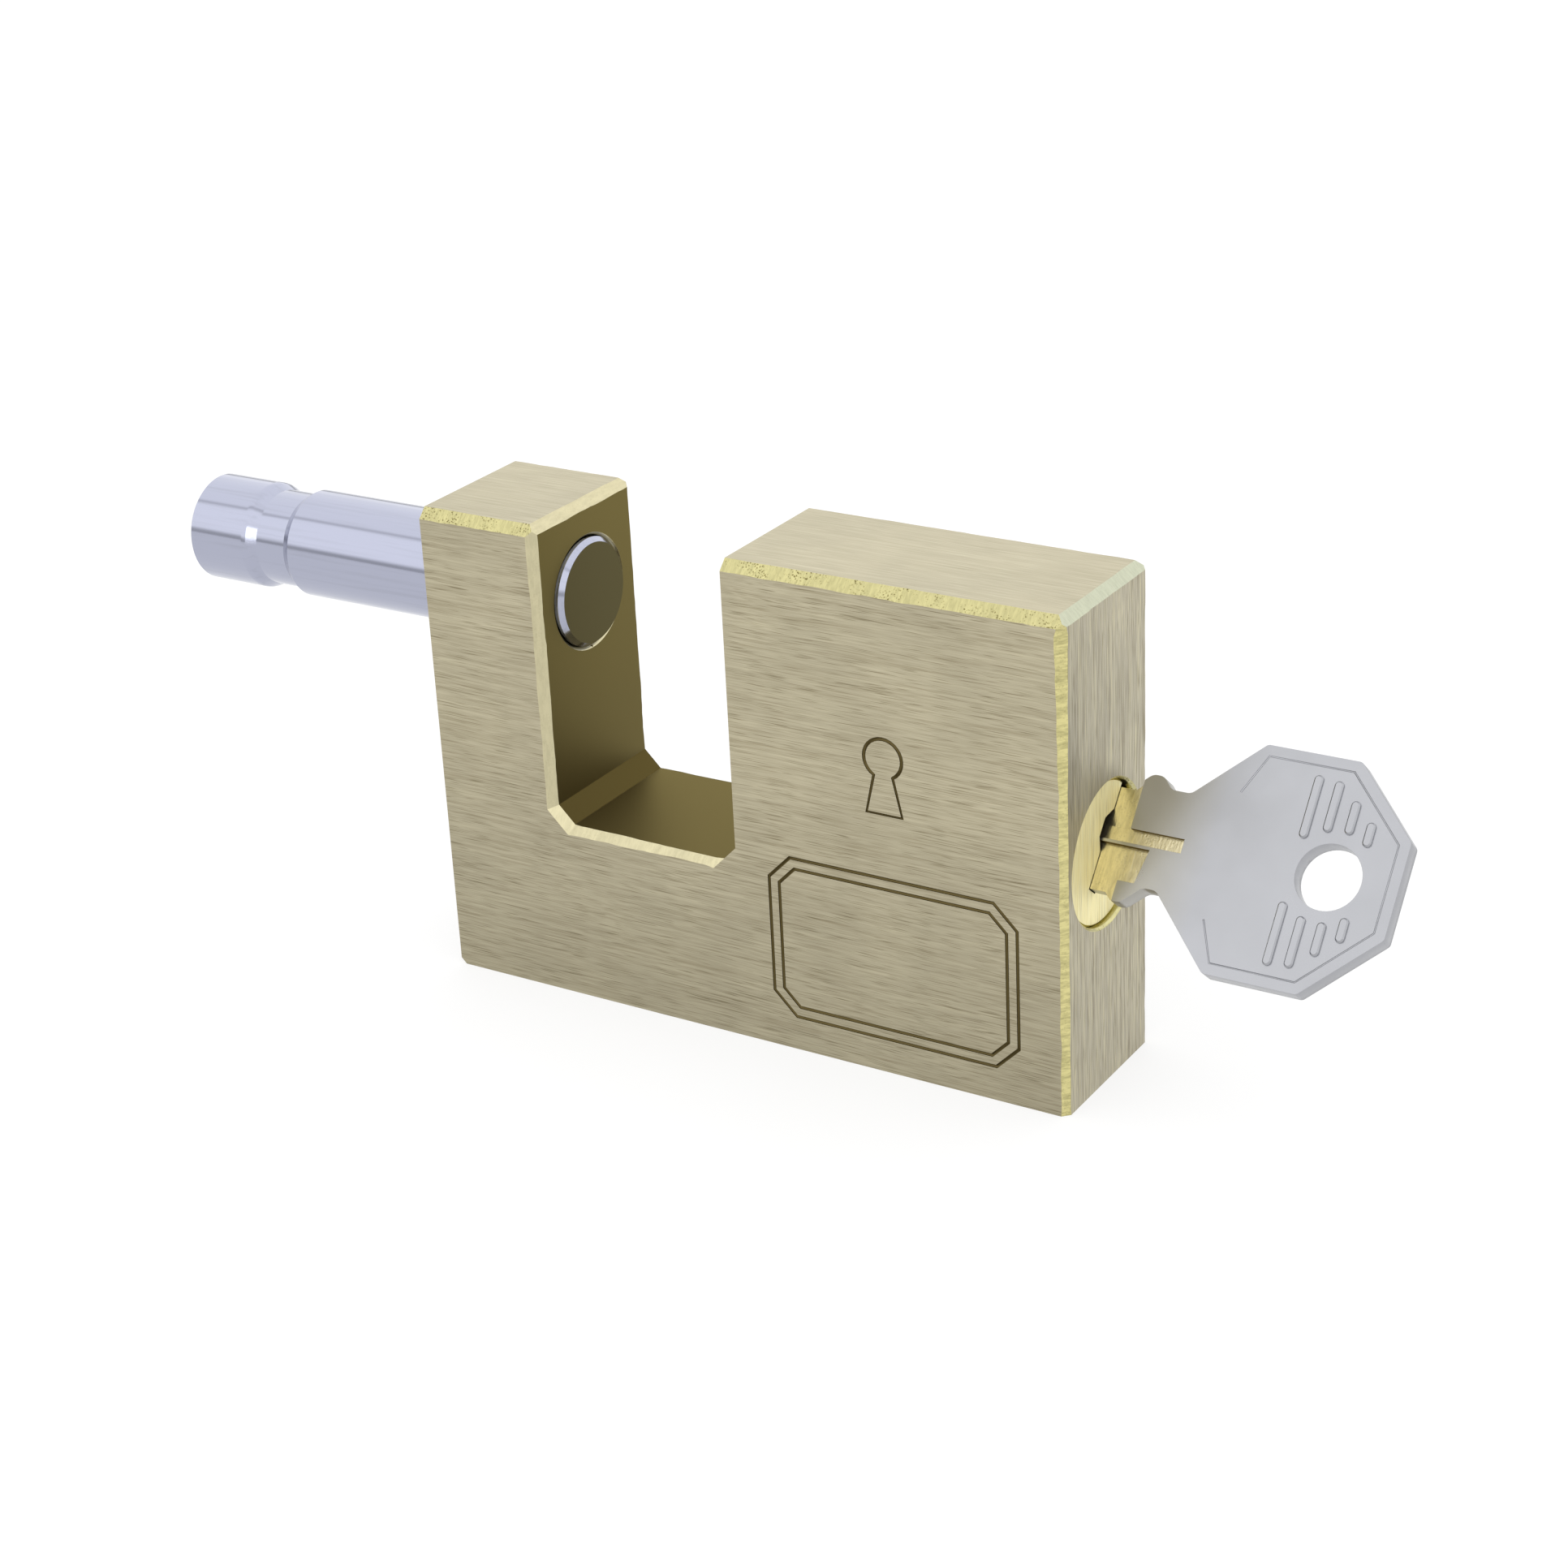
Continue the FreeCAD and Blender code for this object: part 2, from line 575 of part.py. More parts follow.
def build_key():
    body = new_body("key")
    blank = add_outline(new_sketch(body, "XZ_Plane", "key_blank"), key_outline_points())
    plate = extrude(body, "Pad", blank, size.key_thickness, both_ways=True)
    humps = (plug_face + size.stop_start).value
    bow_start = (bow_centre - size.bow_reach * BOW_START).value

    def corners_between(shape, low, high):
        return [f"Edge{number}" for number, edge in enumerate(shape.Edges, start=1)
                if abs(edge.tangentAt(edge.FirstParameter).y) > 0.999
                and edge.Curve.TypeId == "Part::GeomLine"
                and low + 1e-4 < edge.Vertexes[0].X < high]

    soft = corners_between(plate.Shape, humps, bow_start)
    dress(body, "Fillet", soft, size.waist_blend, "waist_blends")
    corners = corners_between(body.Tip.Shape, bow_start, math.inf)
    dress(body, "Fillet", corners, size.bow_blend, "bow_corners")

    hole = add_circle(new_sketch(body, "XZ_Plane", "ring_hole"),
                      bow_centre + size.ring_hole_offset, bow_rise, size.ring_hole / 2)
    extrude(body, "Pocket", hole, size.key_thickness + 2 * OVERCUT, both_ways=True)

    front = half_key + OVERCUT
    past_tip = plug_end - OVERCUT
    below = -(blade_bottom + OVERCUT)
    mill(body, "long_groove", box_points(past_tip, size.groove_low, plug_face + size.groove_reach,
                                         size.groove_high), size.groove_cut, front)
    mill(body, "upper_flat", box_points(past_tip, size.groove_high, plug_face + size.upper_reach,
                                        stop_top + OVERCUT), size.upper_cut, front)
    lip_end = plug_face + size.stop_start + size.stop_width
    mill(body, "lower_flat", [
        (past_tip, below - OVERCUT), (lip_end, below - OVERCUT), (lip_end, -size.lower_lip),
        (plug_face + size.lower_reach - size.cut_flat / 2, -size.lower_lip),
        (plug_face + size.lower_reach, size.lower_high), (past_tip, size.lower_high),
    ], size.lower_cut, front)

    for number, (axis, depth) in enumerate(zip(pin_places, KEY_CUTS), start=1):
        floor = -(blade_bottom - depth)
        half_floor = size.cut_flat / 2
        spread = half_floor + OVERCUT + depth
        cut = new_sketch(body, "XZ_Plane", f"cut_{number}")
        add_outline(cut, [(axis - spread, below), (axis + spread, below),
                          (axis + half_floor, floor), (axis - half_floor, floor)])
        extrude(body, "Pocket", cut, size.key_thickness + 2 * OVERCUT, both_ways=True)
    place(body, z=plug_height, with_plug=True)
    return body


def mill(body, name, points, depth, front):
    """Mill a pocket into the front of the key, which faces away from the sketch plane."""
    sketch = add_outline(new_sketch(body, "XZ_Plane", name, (0, 0, front)), points)
    extrude(body, "Pocket", sketch, depth + OVERCUT)


# Pin stacks: key pins ride in the plug, driver pins, springs and caps stay in the body

def build_pin_stack(number, axis, depth):
    low = -(plug_radius - size.seat_gap * 2)
    tip = -(blade_bottom - depth + size.seat_gap)
    key_pin = turned_piece(f"key_pin_{number}", [
        (0, low), (pin_radius, low), (pin_radius, tip - pin_radius), (0, tip),
    ], shift=(axis, 0, 0))
    place(key_pin, z=plug_height, with_plug=True)

    bottom = driver_top - size.driver_length
    driver = turned_piece(f"driver_pin_{number}", [
        (0, bottom), (pin_radius, bottom), (pin_radius, driver_top), (0, driver_top),
    ])
    place(driver, x=axis)
    spring = build_spring(f"driver_spring_{number}", size.cap_length, bottom, chamber_radius,
                          size.spring_wire, size.spring_pitch, axis)
    cap = build_cap(f"chamber_cap_{number}", axis, chamber_radius)
    return [key_pin, driver, spring, cap]


def build_cap(label, axis, radius):
    cap = doc.addObject("Part::Cylinder", label)
    cap.Label = label
    cap.setExpression("Radius", radius.formula)
    cap.setExpression("Height", size.cap_length.formula)
    cap.setExpression("Placement.Base.x", axis.formula)
    return cap


def build_spring(label, bottom, top, hole_radius, wire, pitch, axis):
    """Coil spring between two seats, wound in straight chords so that it keeps few facets."""
    coil_radius = (hole_radius - size.spring_side_gap - wire / 2).value
    low = (bottom + wire / 2 + size.seat_gap).value
    height = (top - wire / 2 - size.seat_gap).value - low
    turns = height / pitch.value
    chords = max(2, round(turns * CHORDS_PER_TURN))
    route = []
    for step in range(chords + 1):
        angle = 2 * math.pi * turns * step / chords
        route.append(FreeCAD.Vector(coil_radius * math.cos(angle), coil_radius * math.sin(angle),
                                    height * step / chords))
    along = (route[1] - route[0]).normalize()
    across = along.cross(FreeCAD.Vector(1, 0, 0)).normalize()
    third = across.cross(along)
    rim = []
    for side in range(WIRE_SIDES + 1):
        angle = 2 * math.pi * side / WIRE_SIDES
        offset = across * math.cos(angle) + third * math.sin(angle)
        rim.append(route[0] + offset * (wire.value / 2))
    shell = Part.BRepOffsetAPI.MakePipeShell(Part.makePolygon(route))
    shell.setTransitionMode(MITRED)
    shell.add(Part.makePolygon(rim))
    shell.build()
    shell.makeSolid()
    coil = doc.addObject("Part::Feature", label)
    coil.Label = label
    coil.Shape = shell.shape()
    coil.Placement = FreeCAD.Placement(FreeCAD.Vector(axis.value, 0, low), FreeCAD.Rotation())
    return coil


# Cam: a disc behind the plug with two drive lugs and an off-centre crank pin that moves the catch

def build_cam():
    disc_front = plug_end - size.seat_gap
    disc_back = disc_front - size.cam_thickness
    disc_radius = plug_bore_radius - size.cam_clearance
    body = turned_piece("cam", [
        (disc_back, 0), (disc_back, disc_radius), (disc_front, disc_radius), (disc_front, 0),
    ], "H_Axis")
    lugs = new_sketch(body, "YZ_Plane", "drive_lugs", (0, 0, disc_front))
    half_lug = size.lug_height / 2
    lug_outer = plug_radius - size.lug_inset
    add_outline(lugs, box_points(size.lug_inner, -half_lug, lug_outer, half_lug))
    add_outline(lugs, box_points(-lug_outer, -half_lug, -size.lug_inner, half_lug))
    extrude(body, "Pad", lugs, size.lug_depth)
    offset = size.crank_offset * HALF_ROOT
    crank = add_circle(new_sketch(body, "YZ_Plane", "crank_pin", (0, 0, disc_back)), offset, offset,
                       crank_radius)
    extrude(body, "Pad", crank, disc_back - crank_end, reverse=True)
    place(body, z=plug_height, with_plug=True)
    return body


# Catch: a hardened pin under the bar, slotted for the crank, with a saddle that bites into the groove

def build_catch():
    body = turned_piece("catch", [
        (0, catch_foot), (catch_radius, catch_foot), (catch_radius, catch_top), (0, catch_top),
    ], shift=(catch_axis, 0, 0))
    saddle = new_sketch(body, "XZ_Plane", "saddle", (0, bar_height, 0))
    add_outline(saddle, box_points(catch_axis - size.catch_diameter, 0,
                                   catch_axis + size.catch_diameter, saddle_radius))
    turn(body, "Groove", saddle)
    nose = new_sketch(body, "XZ_Plane", "nose_flat")
    add_outline(nose, box_points(catch_axis - size.nose_face, catch_top - size.nose_height,
                                 catch_axis + size.catch_diameter, catch_top + OVERCUT))
    extrude(body, "Pocket", nose, size.catch_diameter * 2, both_ways=True)
    slot = new_sketch(body, "XZ_Plane", "crank_slot")
    half_slot = crank_radius + size.crank_play
    add_outline(slot, box_points(catch_axis - catch_radius + size.catch_web,
                                 crank_home_height - half_slot, catch_axis + size.catch_diameter,
                                 crank_home_height + half_slot))
    extrude(body, "Pocket", slot, size.catch_diameter * 2, both_ways=True)
    place(body, z=-catch_drop)
    return body


# Detent: a plunger in the post that snaps into the bar's inner groove and keeps it from falling out

def build_plunger():
    return turned_piece("detent_plunger", [
        (0, plunger_foot), (plunger_radius, plunger_foot),
        (plunger_radius, plunger_top - plunger_radius), (0, plunger_top),
    ], shift=(plunger_axis, 0, 0))


def build_keeper():
    keeper = doc.addObject("Part::Cylinder", "plug_keeper_pin")
    keeper.Label = "plug_keeper_pin"
    keeper.setExpression("Radius", keeper_radius.formula)
    keeper.setExpression("Height", (plug_height + size.keeper_rise).formula)
    keeper.setExpression("Placement.Base.x", keeper_axis.formula)
    keeper.setExpression("Placement.Base.y", (-keeper_side).formula)
    return keeper


pieces = [build_lock_body(), build_bar(), build_plug(), build_key()]
for number, (axis, depth) in enumerate(zip(pin_places, KEY_CUTS), start=1):
    pieces += build_pin_stack(number, axis, depth)
pieces += [build_cam(), build_catch(), build_keeper(), build_plunger()]
pieces.append(build_spring("catch_spring", size.cap_length, catch_foot - catch_drop, catch_hole_radius,
                           size.long_spring_wire, size.long_spring_pitch, catch_axis))
pieces.append(build_cap("catch_cap", catch_axis, catch_hole_radius))
pieces.append(build_spring("detent_spring", size.cap_length, plunger_foot, plunger_hole_radius,
                           size.long_spring_wire, size.long_spring_pitch, plunger_axis))
pieces.append(build_cap("detent_cap", plunger_axis, plunger_hole_radius))
doc.recompute()

# Checks, then one file for each piece

CUTTING = ("PartDesign::Pocket", "PartDesign::Groove")
for item in doc.Objects:
    if "Invalid" in item.State or "Error" in item.State:
        raise RuntimeError(f"{item.Name} did not build: {item.State}")
    if item.TypeId in CUTTING and item.BaseFeature is not None:
        if item.Shape.Volume >= item.BaseFeature.Shape.Volume - 1e-6:
            raise RuntimeError(f"{item.Name} cut nothing")
for piece in pieces:
    if piece.Shape.isNull() or not piece.Shape.isValid() or len(piece.Shape.Solids) != 1:
        raise RuntimeError(f"{piece.Label} is not one sound solid")

os.makedirs("parts", exist_ok=True)
for piece in pieces:
    piece.Shape.exportStep(f"parts/{piece.Label}.step")
print(len(pieces), "pieces written")
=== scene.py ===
"""Looks of the shutter padlock, opened: brushed brass body, chromed bar, brass plug, plated key."""
import math

import bmesh
import bpy
from mathutils import Matrix, Vector, noise


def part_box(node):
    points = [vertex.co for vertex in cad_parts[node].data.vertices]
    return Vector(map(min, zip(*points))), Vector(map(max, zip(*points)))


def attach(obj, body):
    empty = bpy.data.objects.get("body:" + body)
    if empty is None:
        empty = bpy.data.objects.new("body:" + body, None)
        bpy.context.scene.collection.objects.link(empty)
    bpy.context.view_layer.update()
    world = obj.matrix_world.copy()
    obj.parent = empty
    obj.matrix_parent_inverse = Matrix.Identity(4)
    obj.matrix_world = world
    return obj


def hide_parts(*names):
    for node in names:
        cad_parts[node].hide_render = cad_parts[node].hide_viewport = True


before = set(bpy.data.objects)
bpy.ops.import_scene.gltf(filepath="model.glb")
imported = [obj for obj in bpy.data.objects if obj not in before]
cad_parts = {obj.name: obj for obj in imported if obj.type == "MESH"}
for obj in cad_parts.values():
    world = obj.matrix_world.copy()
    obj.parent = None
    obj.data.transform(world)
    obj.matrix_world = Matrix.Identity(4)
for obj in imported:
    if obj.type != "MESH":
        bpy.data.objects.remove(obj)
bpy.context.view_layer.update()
MM = 0.001

# Lock body
# One length of extruded brass bar, sawn off, with the gap milled through and the bores drilled.
# The large faces are belt-brushed, so they are satin with fine streaks along the belt. The chamfers
# were milled last: they are bright and yellower, with pits, cutter marks and slightly wavy borders.

SATIN_LIGHT = "#C5BDA1"
SATIN_MID = "#B5AD94"
SATIN_DARK = "#9C9277"
LIT_TOP_LIGHT = "#C4BEA2"
# The top's brushed brass is a lighter copy of the front's in its darker tones: painted light on the
# face that looks up.
LIT_TOP_DARK = "#ABA58A"
END_LIGHT = "#D2CAA4"
END_MID = "#BAB4A1"
END_DARK = "#82765A"
SCORED_BRASS = "#7D7358"
ALONG_X, ALONG_Y, ALONG_Z = range(3)

# The scratches of a 120 grit belt are about 0.02 mm wide. They are drawn wider, so that they show.
HAIR_WIDTH = 0.07 * MM
HAIR_LENGTH = 6.0 * MM
BAND_WIDTH = 0.3 * MM
BAND_LENGTH = 14.0 * MM
SCORE_WIDTH = 0.075 * MM
SCORE_LENGTH = 3.6 * MM
BRUSHED_RELIEF = 0.03 * MM
SWAY = 0.5 * MM
SWAY_SPAN = 20.0 * MM
CLOUD_SPAN = 9 * MM
# Painted shade: the front and back are painted darker towards the bottom by this factor.
FOOT_SHADE = 0.84
FOOT_SHADE_LOW = 2 * MM
FOOT_SHADE_HIGH = 28 * MM


def linear(code):
    """sRGB hex to the linear colour that a socket takes."""
    parts = [int(code[at:at + 2], 16) / 255 for at in (1, 3, 5)]
    return (*(part / 12.92 if part <= 0.04045 else ((part + 0.055) / 1.055) ** 2.4 for part in parts),
            1.0)


def add_node(tree, kind, settings=None, **inputs):
    """Add one shader node. An input is a value or another node's output; Base_Color is Base Color."""
    node = tree.nodes.new(f"ShaderNode{kind}")
    for name, value in (settings or {}).items():
        setattr(node, name, value)
    for name, value in inputs.items():
        name = name.replace("_", " ")
        socket = node.inputs[int(name[2:])] if name.startswith("at") else node.inputs[name]
        if isinstance(value, bpy.types.NodeSocket):
            tree.links.new(value, socket)
        else:
            socket.default_value = value
    return node


def new_finish(name):
    """A material with nothing in it but its output."""
    finish = bpy.data.materials.new(name)
    finish.use_nodes = True
    finish.node_tree.nodes.clear()
    return finish, finish.node_tree, finish.node_tree.nodes.new("ShaderNodeOutputMaterial")


def brushed_brass(name, along, light, middle, dark, spread, roughest=0.5, foot_shade=1.0, scoring=0.75):
    """Belt-brushed brass: satin, with hair streaks, broader bands and thin dark scratches along it.

    A foot shade below 1 darkens the lower part, as painted shade.
    """
    finish, tree, out = new_finish(name)
    place = add_node(tree, "TexCoord").outputs["Object"]
    drift = add_node(tree, "TexNoise", Vector=place, Scale=1 / SWAY_SPAN, Detail=1.0)
    swayed = add_node(tree, "VectorMath", {"operation": "MULTIPLY_ADD"}, at0=drift.outputs["Color"],
                      at1=(SWAY, SWAY, SWAY), at2=place)
    fine = [1 / HAIR_WIDTH] * 3
    fine[along] = 1 / HAIR_LENGTH
    hair = add_node(tree, "VectorMath", {"operation": "MULTIPLY"}, at0=swayed.outputs[0], at1=fine)
    hairs = add_node(tree, "TexNoise", Vector=hair.outputs[0], Scale=1.0, Detail=2.0, Roughness=0.6)
    broad = [1 / BAND_WIDTH] * 3
    broad[along] = 1 / BAND_LENGTH
    band = add_node(tree, "VectorMath", {"operation": "MULTIPLY"}, at0=swayed.outputs[0], at1=broad)
    bands = add_node(tree, "TexNoise", Vector=band.outputs[0], Scale=1.0, Detail=3.0, Roughness=0.6)
    part = add_node(tree, "Math", {"operation": "MULTIPLY"}, at0=bands.outputs[0], at1=0.4)
    both = add_node(tree, "Math", {"operation": "MULTIPLY_ADD"}, at0=hairs.outputs[0], at1=0.6,
                    at2=part.outputs[0])
    deep = [1 / SCORE_WIDTH] * 3
    deep[along] = 1 / SCORE_LENGTH
    score = add_node(tree, "VectorMath", {"operation": "MULTIPLY"}, at0=swayed.outputs[0], at1=deep)
    scores = add_node(tree, "TexNoise", Vector=score.outputs[0], Scale=1.0, Detail=1.0)
    scored = add_node(tree, "MapRange", Value=scores.outputs[0], From_Min=0.58, From_Max=0.7,
                      To_Min=0.0, To_Max=scoring)
    tone = add_node(tree, "ValToRGB", Fac=both.outputs[0])
    tone.color_ramp.elements[0].position = 0.5 - spread
    tone.color_ramp.elements[0].color = linear(dark)
    tone.color_ramp.elements[1].position = 0.5 + spread
    tone.color_ramp.elements[1].color = linear(light)
    tone.color_ramp.elements.new(0.5).color = linear(middle)
    cloud = add_node(tree, "TexNoise", Vector=place, Scale=1 / CLOUD_SPAN, Detail=2.0)
    haze = add_node(tree, "MapRange", Value=cloud.outputs[0], From_Min=0.35, From_Max=0.65,
                    To_Min=0.95, To_Max=1.03)
    # Painted shade: darker towards the bottom, mixed with the random haze.
    up = add_node(tree, "SeparateXYZ", Vector=place).outputs["Z"]
    foot_shading = add_node(tree, "MapRange", Value=up, From_Min=FOOT_SHADE_LOW, From_Max=FOOT_SHADE_HIGH,
                       To_Min=foot_shade, To_Max=1.0)
    haze_and_foot_shade = add_node(tree, "Math", {"operation": "MULTIPLY"}, at0=haze.outputs[0],
                      at1=foot_shading.outputs[0])
    lined = add_node(tree, "MixRGB", Fac=scored.outputs[0], Color1=tone.outputs[0],
                     Color2=linear(SCORED_BRASS))
    hazed = add_node(tree, "MixRGB", {"blend_type": "MULTIPLY"}, Fac=1.0, Color1=lined.outputs[0],
                     Color2=haze_and_foot_shade.outputs[0])
    rough = add_node(tree, "MapRange", Value=both.outputs[0], From_Min=0.3, From_Max=0.7,
                     To_Min=roughest, To_Max=roughest - 0.12)
    dents = add_node(tree, "Bump", Height=both.outputs[0], Strength=0.25, Distance=BRUSHED_RELIEF)
    metal = add_node(tree, "BsdfPrincipled", Base_Color=hazed.outputs[0], Metallic=1.0,
                     Roughness=rough.outputs[0], Normal=dents.outputs[0])
    tree.links.new(metal.outputs[0], out.inputs["Surface"])
    return finish


EDGE_BRASS = "#CAC38E"
UPRIGHT_BRASS = "#DAD194"
PALE_BRASS = "#C9C19E"
COOL_BRASS = "#BABDA6"
PIT_BRASS = "#6F6434"
PIT_SPACING = 0.24 * MM
PIT_TEAR = 0.2 * MM
PIT_PATCH = 2.4 * MM
CUTTER_MARK = 0.3 * MM
MILLED_RELIEF = 0.05 * MM


def milled_brass(name, colour, pits, marks_along, mark_depth=0.2):
    """Freshly cut brass: bright and yellow, with clusters of pits, and cutter marks across one axis."""
    finish, tree, out = new_finish(name)
    place = add_node(tree, "TexCoord").outputs["Object"]
    rough_edge = add_node(tree, "TexNoise", Vector=place, Scale=1 / PIT_TEAR, Detail=2.0)
    torn = add_node(tree, "VectorMath", {"operation": "MULTIPLY_ADD"}, at0=rough_edge.outputs["Color"],
                    at1=(PIT_SPACING, PIT_SPACING, PIT_SPACING), at2=place)
    grain = add_node(tree, "TexVoronoi", {"feature": "F1"}, Vector=torn.outputs[0],
                     Scale=1 / PIT_SPACING, Randomness=1.0)
    pit = add_node(tree, "MapRange", Value=grain.outputs["Distance"], From_Min=0.2, From_Max=0.45,
                   To_Min=1.0, To_Max=0.0)
    patches = add_node(tree, "TexNoise", Vector=place, Scale=1 / PIT_PATCH, Detail=5.0, Roughness=0.75)
    patch = add_node(tree, "MapRange", Value=patches.outputs[0], From_Min=0.44, From_Max=0.56,
                     To_Min=0.0, To_Max=pits)
    worn = add_node(tree, "Math", {"operation": "MULTIPLY"}, at0=pit.outputs[0], at1=patch.outputs[0])
    stretch = [1 / (5 * CUTTER_MARK)] * 3
    stretch[marks_along] = 1 / CUTTER_MARK
    cut = add_node(tree, "VectorMath", {"operation": "MULTIPLY"}, at0=place, at1=stretch)
    cuts = add_node(tree, "TexNoise", Vector=cut.outputs[0], Scale=1.0, Detail=2.0, Roughness=0.7)
    tone = add_node(tree, "MixRGB", Fac=worn.outputs[0], Color1=linear(colour),
                    Color2=linear(PIT_BRASS))
    shade = add_node(tree, "MapRange", Value=cuts.outputs[0], From_Min=0.35, From_Max=0.62,
                     To_Min=1.0 - mark_depth, To_Max=1.0)
    toned = add_node(tree, "MixRGB", {"blend_type": "MULTIPLY"}, Fac=1.0, Color1=tone.outputs[0],
                     Color2=shade.outputs[0])
    height = add_node(tree, "Math", {"operation": "SUBTRACT"}, at0=cuts.outputs[0],
                      at1=worn.outputs[0])
    dents = add_node(tree, "Bump", Height=height.outputs[0], Strength=0.5, Distance=MILLED_RELIEF)
    rough = add_node(tree, "MapRange", Value=worn.outputs[0], To_Min=0.28, To_Max=0.6)
    metal = add_node(tree, "BsdfPrincipled", Base_Color=toned.outputs[0], Metallic=1.0,
                     Roughness=rough.outputs[0], Normal=dents.outputs[0])
    tree.links.new(metal.outputs[0], out.inputs["Surface"])
    return finish


# The gap's cut faces: an oil stain with painted shade of the recess, darker towards the gap's floor.
GAP_STAIN_HIGH = "#766B43"
GAP_STAIN_SHADED_LOW = "#6E6443"
# Painted shade: the gap's curved corners are painted darkest.
GAP_CORNER_SHADE = "#574C2B"
GAP_SHEEN = "#E2DABE"


def dull_and_shaded_brass(name, colour):
    """One dark colour and hardly any shine: a cut that is dirty or oiled all over, and walls, grooves
    and corners where the dark colour is painted shade.
    """
    finish, tree, out = new_finish(name)
    metal = add_node(tree, "BsdfPrincipled", Base_Color=linear(colour), Metallic=1.0, Roughness=0.5,
                     Specular_Tint=linear(GAP_SHEEN))
    tree.links.new(metal.outputs[0], out.inputs["Surface"])
    return finish


def stained_and_shaded_brass(name, low_colour, high_colour, low, high):
    """A smooth cut stained dark with oil, with painted shade of the recess that deepens towards its low
    end.
    """
    finish, tree, out = new_finish(name)
    place = add_node(tree, "TexCoord").outputs["Object"]
    height = add_node(tree, "SeparateXYZ", Vector=place).outputs["Z"]
    cloud = add_node(tree, "TexNoise", Vector=place, Scale=1 / CLOUD_SPAN, Detail=3.0)
    level = add_node(tree, "MapRange", Value=height, From_Min=low, From_Max=high)
    mixed = add_node(tree, "Math", {"operation": "MULTIPLY_ADD"}, at0=cloud.outputs[0], at1=0.2,
                     at2=level.outputs[0])
    tone = add_node(tree, "MixRGB", Fac=mixed.outputs[0], Color1=linear(low_colour),
                    Color2=linear(high_colour))
    metal = add_node(tree, "BsdfPrincipled", Base_Color=tone.outputs[0], Metallic=1.0, Roughness=0.5,
                     Specular_Tint=linear(GAP_SHEEN))
    tree.links.new(metal.outputs[0], out.inputs["Surface"])
    return finish


# Facets of a flat face meet at less than the first angle, those of a round one at less than the second.
FLAT_ANGLE = math.radians(0.6)
CURVED_ANGLE = math.radians(15)
WELD = 1e-6


def whole_faces(node):
    """A CAD node's mesh as bmesh, with its flat faces whole again, ready for finer work."""
    mesh = bmesh.new()
    mesh.from_mesh(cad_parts[node].data)
    bmesh.ops.remove_doubles(mesh, verts=mesh.verts, dist=WELD)
    bmesh.ops.dissolve_limit(mesh, angle_limit=FLAT_ANGLE, verts=mesh.verts, edges=mesh.edges)
    mesh.normal_update()
    for face in mesh.faces:
        face.smooth = any(FLAT_ANGLE < edge.calc_face_angle() < CURVED_ANGLE for edge in face.edges)
    return mesh


def placed_piece(name, mesh):
    """Close a bmesh into an object of the scene."""
    data = bpy.data.meshes.new(name)
    mesh.to_mesh(data)
    mesh.free()
    piece = bpy.data.objects.new(name, data)
    bpy.context.scene.collection.objects.link(piece)
    return piece


def divided_edge(edge, parts):
    """Divide one edge into equal parts and return all its points in order."""
    points = [edge.verts[0]]
    last = edge.verts[1]
    for step in range(parts - 1):
        points.append(bmesh.utils.edge_split(edge, points[-1], 1 / (parts - step))[1])
    return points + [last]


WAVE_STEP = 0.8 * MM
WAVE_HEIGHT = 0.1 * MM
LONG_WAVES = 0.35
SHORT_WAVES = 1.3
SHORT_SHARE = 0.6


def waved_chamfer(mesh, face, flare):
    """Cut a chamfer across into short strips and let both of its long borders wander a little."""
    longest = sorted(face.edges, key=lambda edge: edge.calc_length())[-2:]
    parts = max(2, round(longest[0].calc_length() / WAVE_STEP))
    borders = []
    for edge in longest:
        big = next(other for other in edge.link_faces if other is not face)
        along = (edge.verts[1].co - edge.verts[0].co).normalized()
        across = big.normal.cross(along)
        if across.dot(edge.verts[0].co - face.calc_center_median()) < 0:
            across = -across
        borders.append((divided_edge(edge, parts), across))
    first, second = borders[0][0], borders[1][0]
    if (first[0].co - second[0].co).length > (first[0].co - second[-1].co).length:
        second.reverse()
    for here, there in zip(first[1:-1], second[1:-1]):
        shared = next(one for one in here.link_faces if one in there.link_faces)
        bmesh.utils.face_split(shared, here, there)
    for points, across in borders:
        for point in points[1:-1]:
            spot = point.co / MM
            wander = noise.noise(spot * LONG_WAVES) + SHORT_SHARE * noise.noise(spot * SHORT_WAVES)
            point.co += across * (WAVE_HEIGHT * wander + flare(point.co))


def engraved_line(name, points, finish, radius, closed=True):
    """A thin tube along a line on a face. Taken away from the face, it leaves a round groove."""
    curve = bpy.data.curves.new(name, "CURVE")
    curve.dimensions = "3D"
    curve.bevel_depth = radius
    curve.bevel_resolution = 1
    curve.use_fill_caps = True
    line = curve.splines.new("POLY")
    line.points.add(len(points) - 1)
    line.use_cyclic_u = closed
    for point, spot in zip(line.points, points):
        point.co = (*spot, 1.0)
    path = bpy.data.objects.new(name, curve)
    tube = bpy.data.objects.new(name, bpy.data.meshes.new_from_object(path))
    tube.data.materials.clear()
    tube.data.materials.append(finish)
    bpy.context.scene.collection.objects.link(tube)
    bpy.data.objects.remove(path)
    return tube


def take_away(piece, cutters):
    """Cut each cutter out of the piece for good, and keep the cutters' finish in the cuts."""
    for cutter in cutters:
        cut = piece.modifiers.new("cut", "BOOLEAN")
        cut.object = cutter
        cut.solver = "EXACT"
        cut.material_mode = "TRANSFER"
    graph = bpy.context.evaluated_depsgraph_get()
    data = bpy.data.meshes.new_from_object(piece.evaluated_get(graph))
    piece.modifiers.clear()
    piece.data = data
    for cutter in cutters:
        bpy.data.objects.remove(cutter)


EDGE_BREAK = 0.05 * MM
SHARP_ANGLE = math.radians(30)


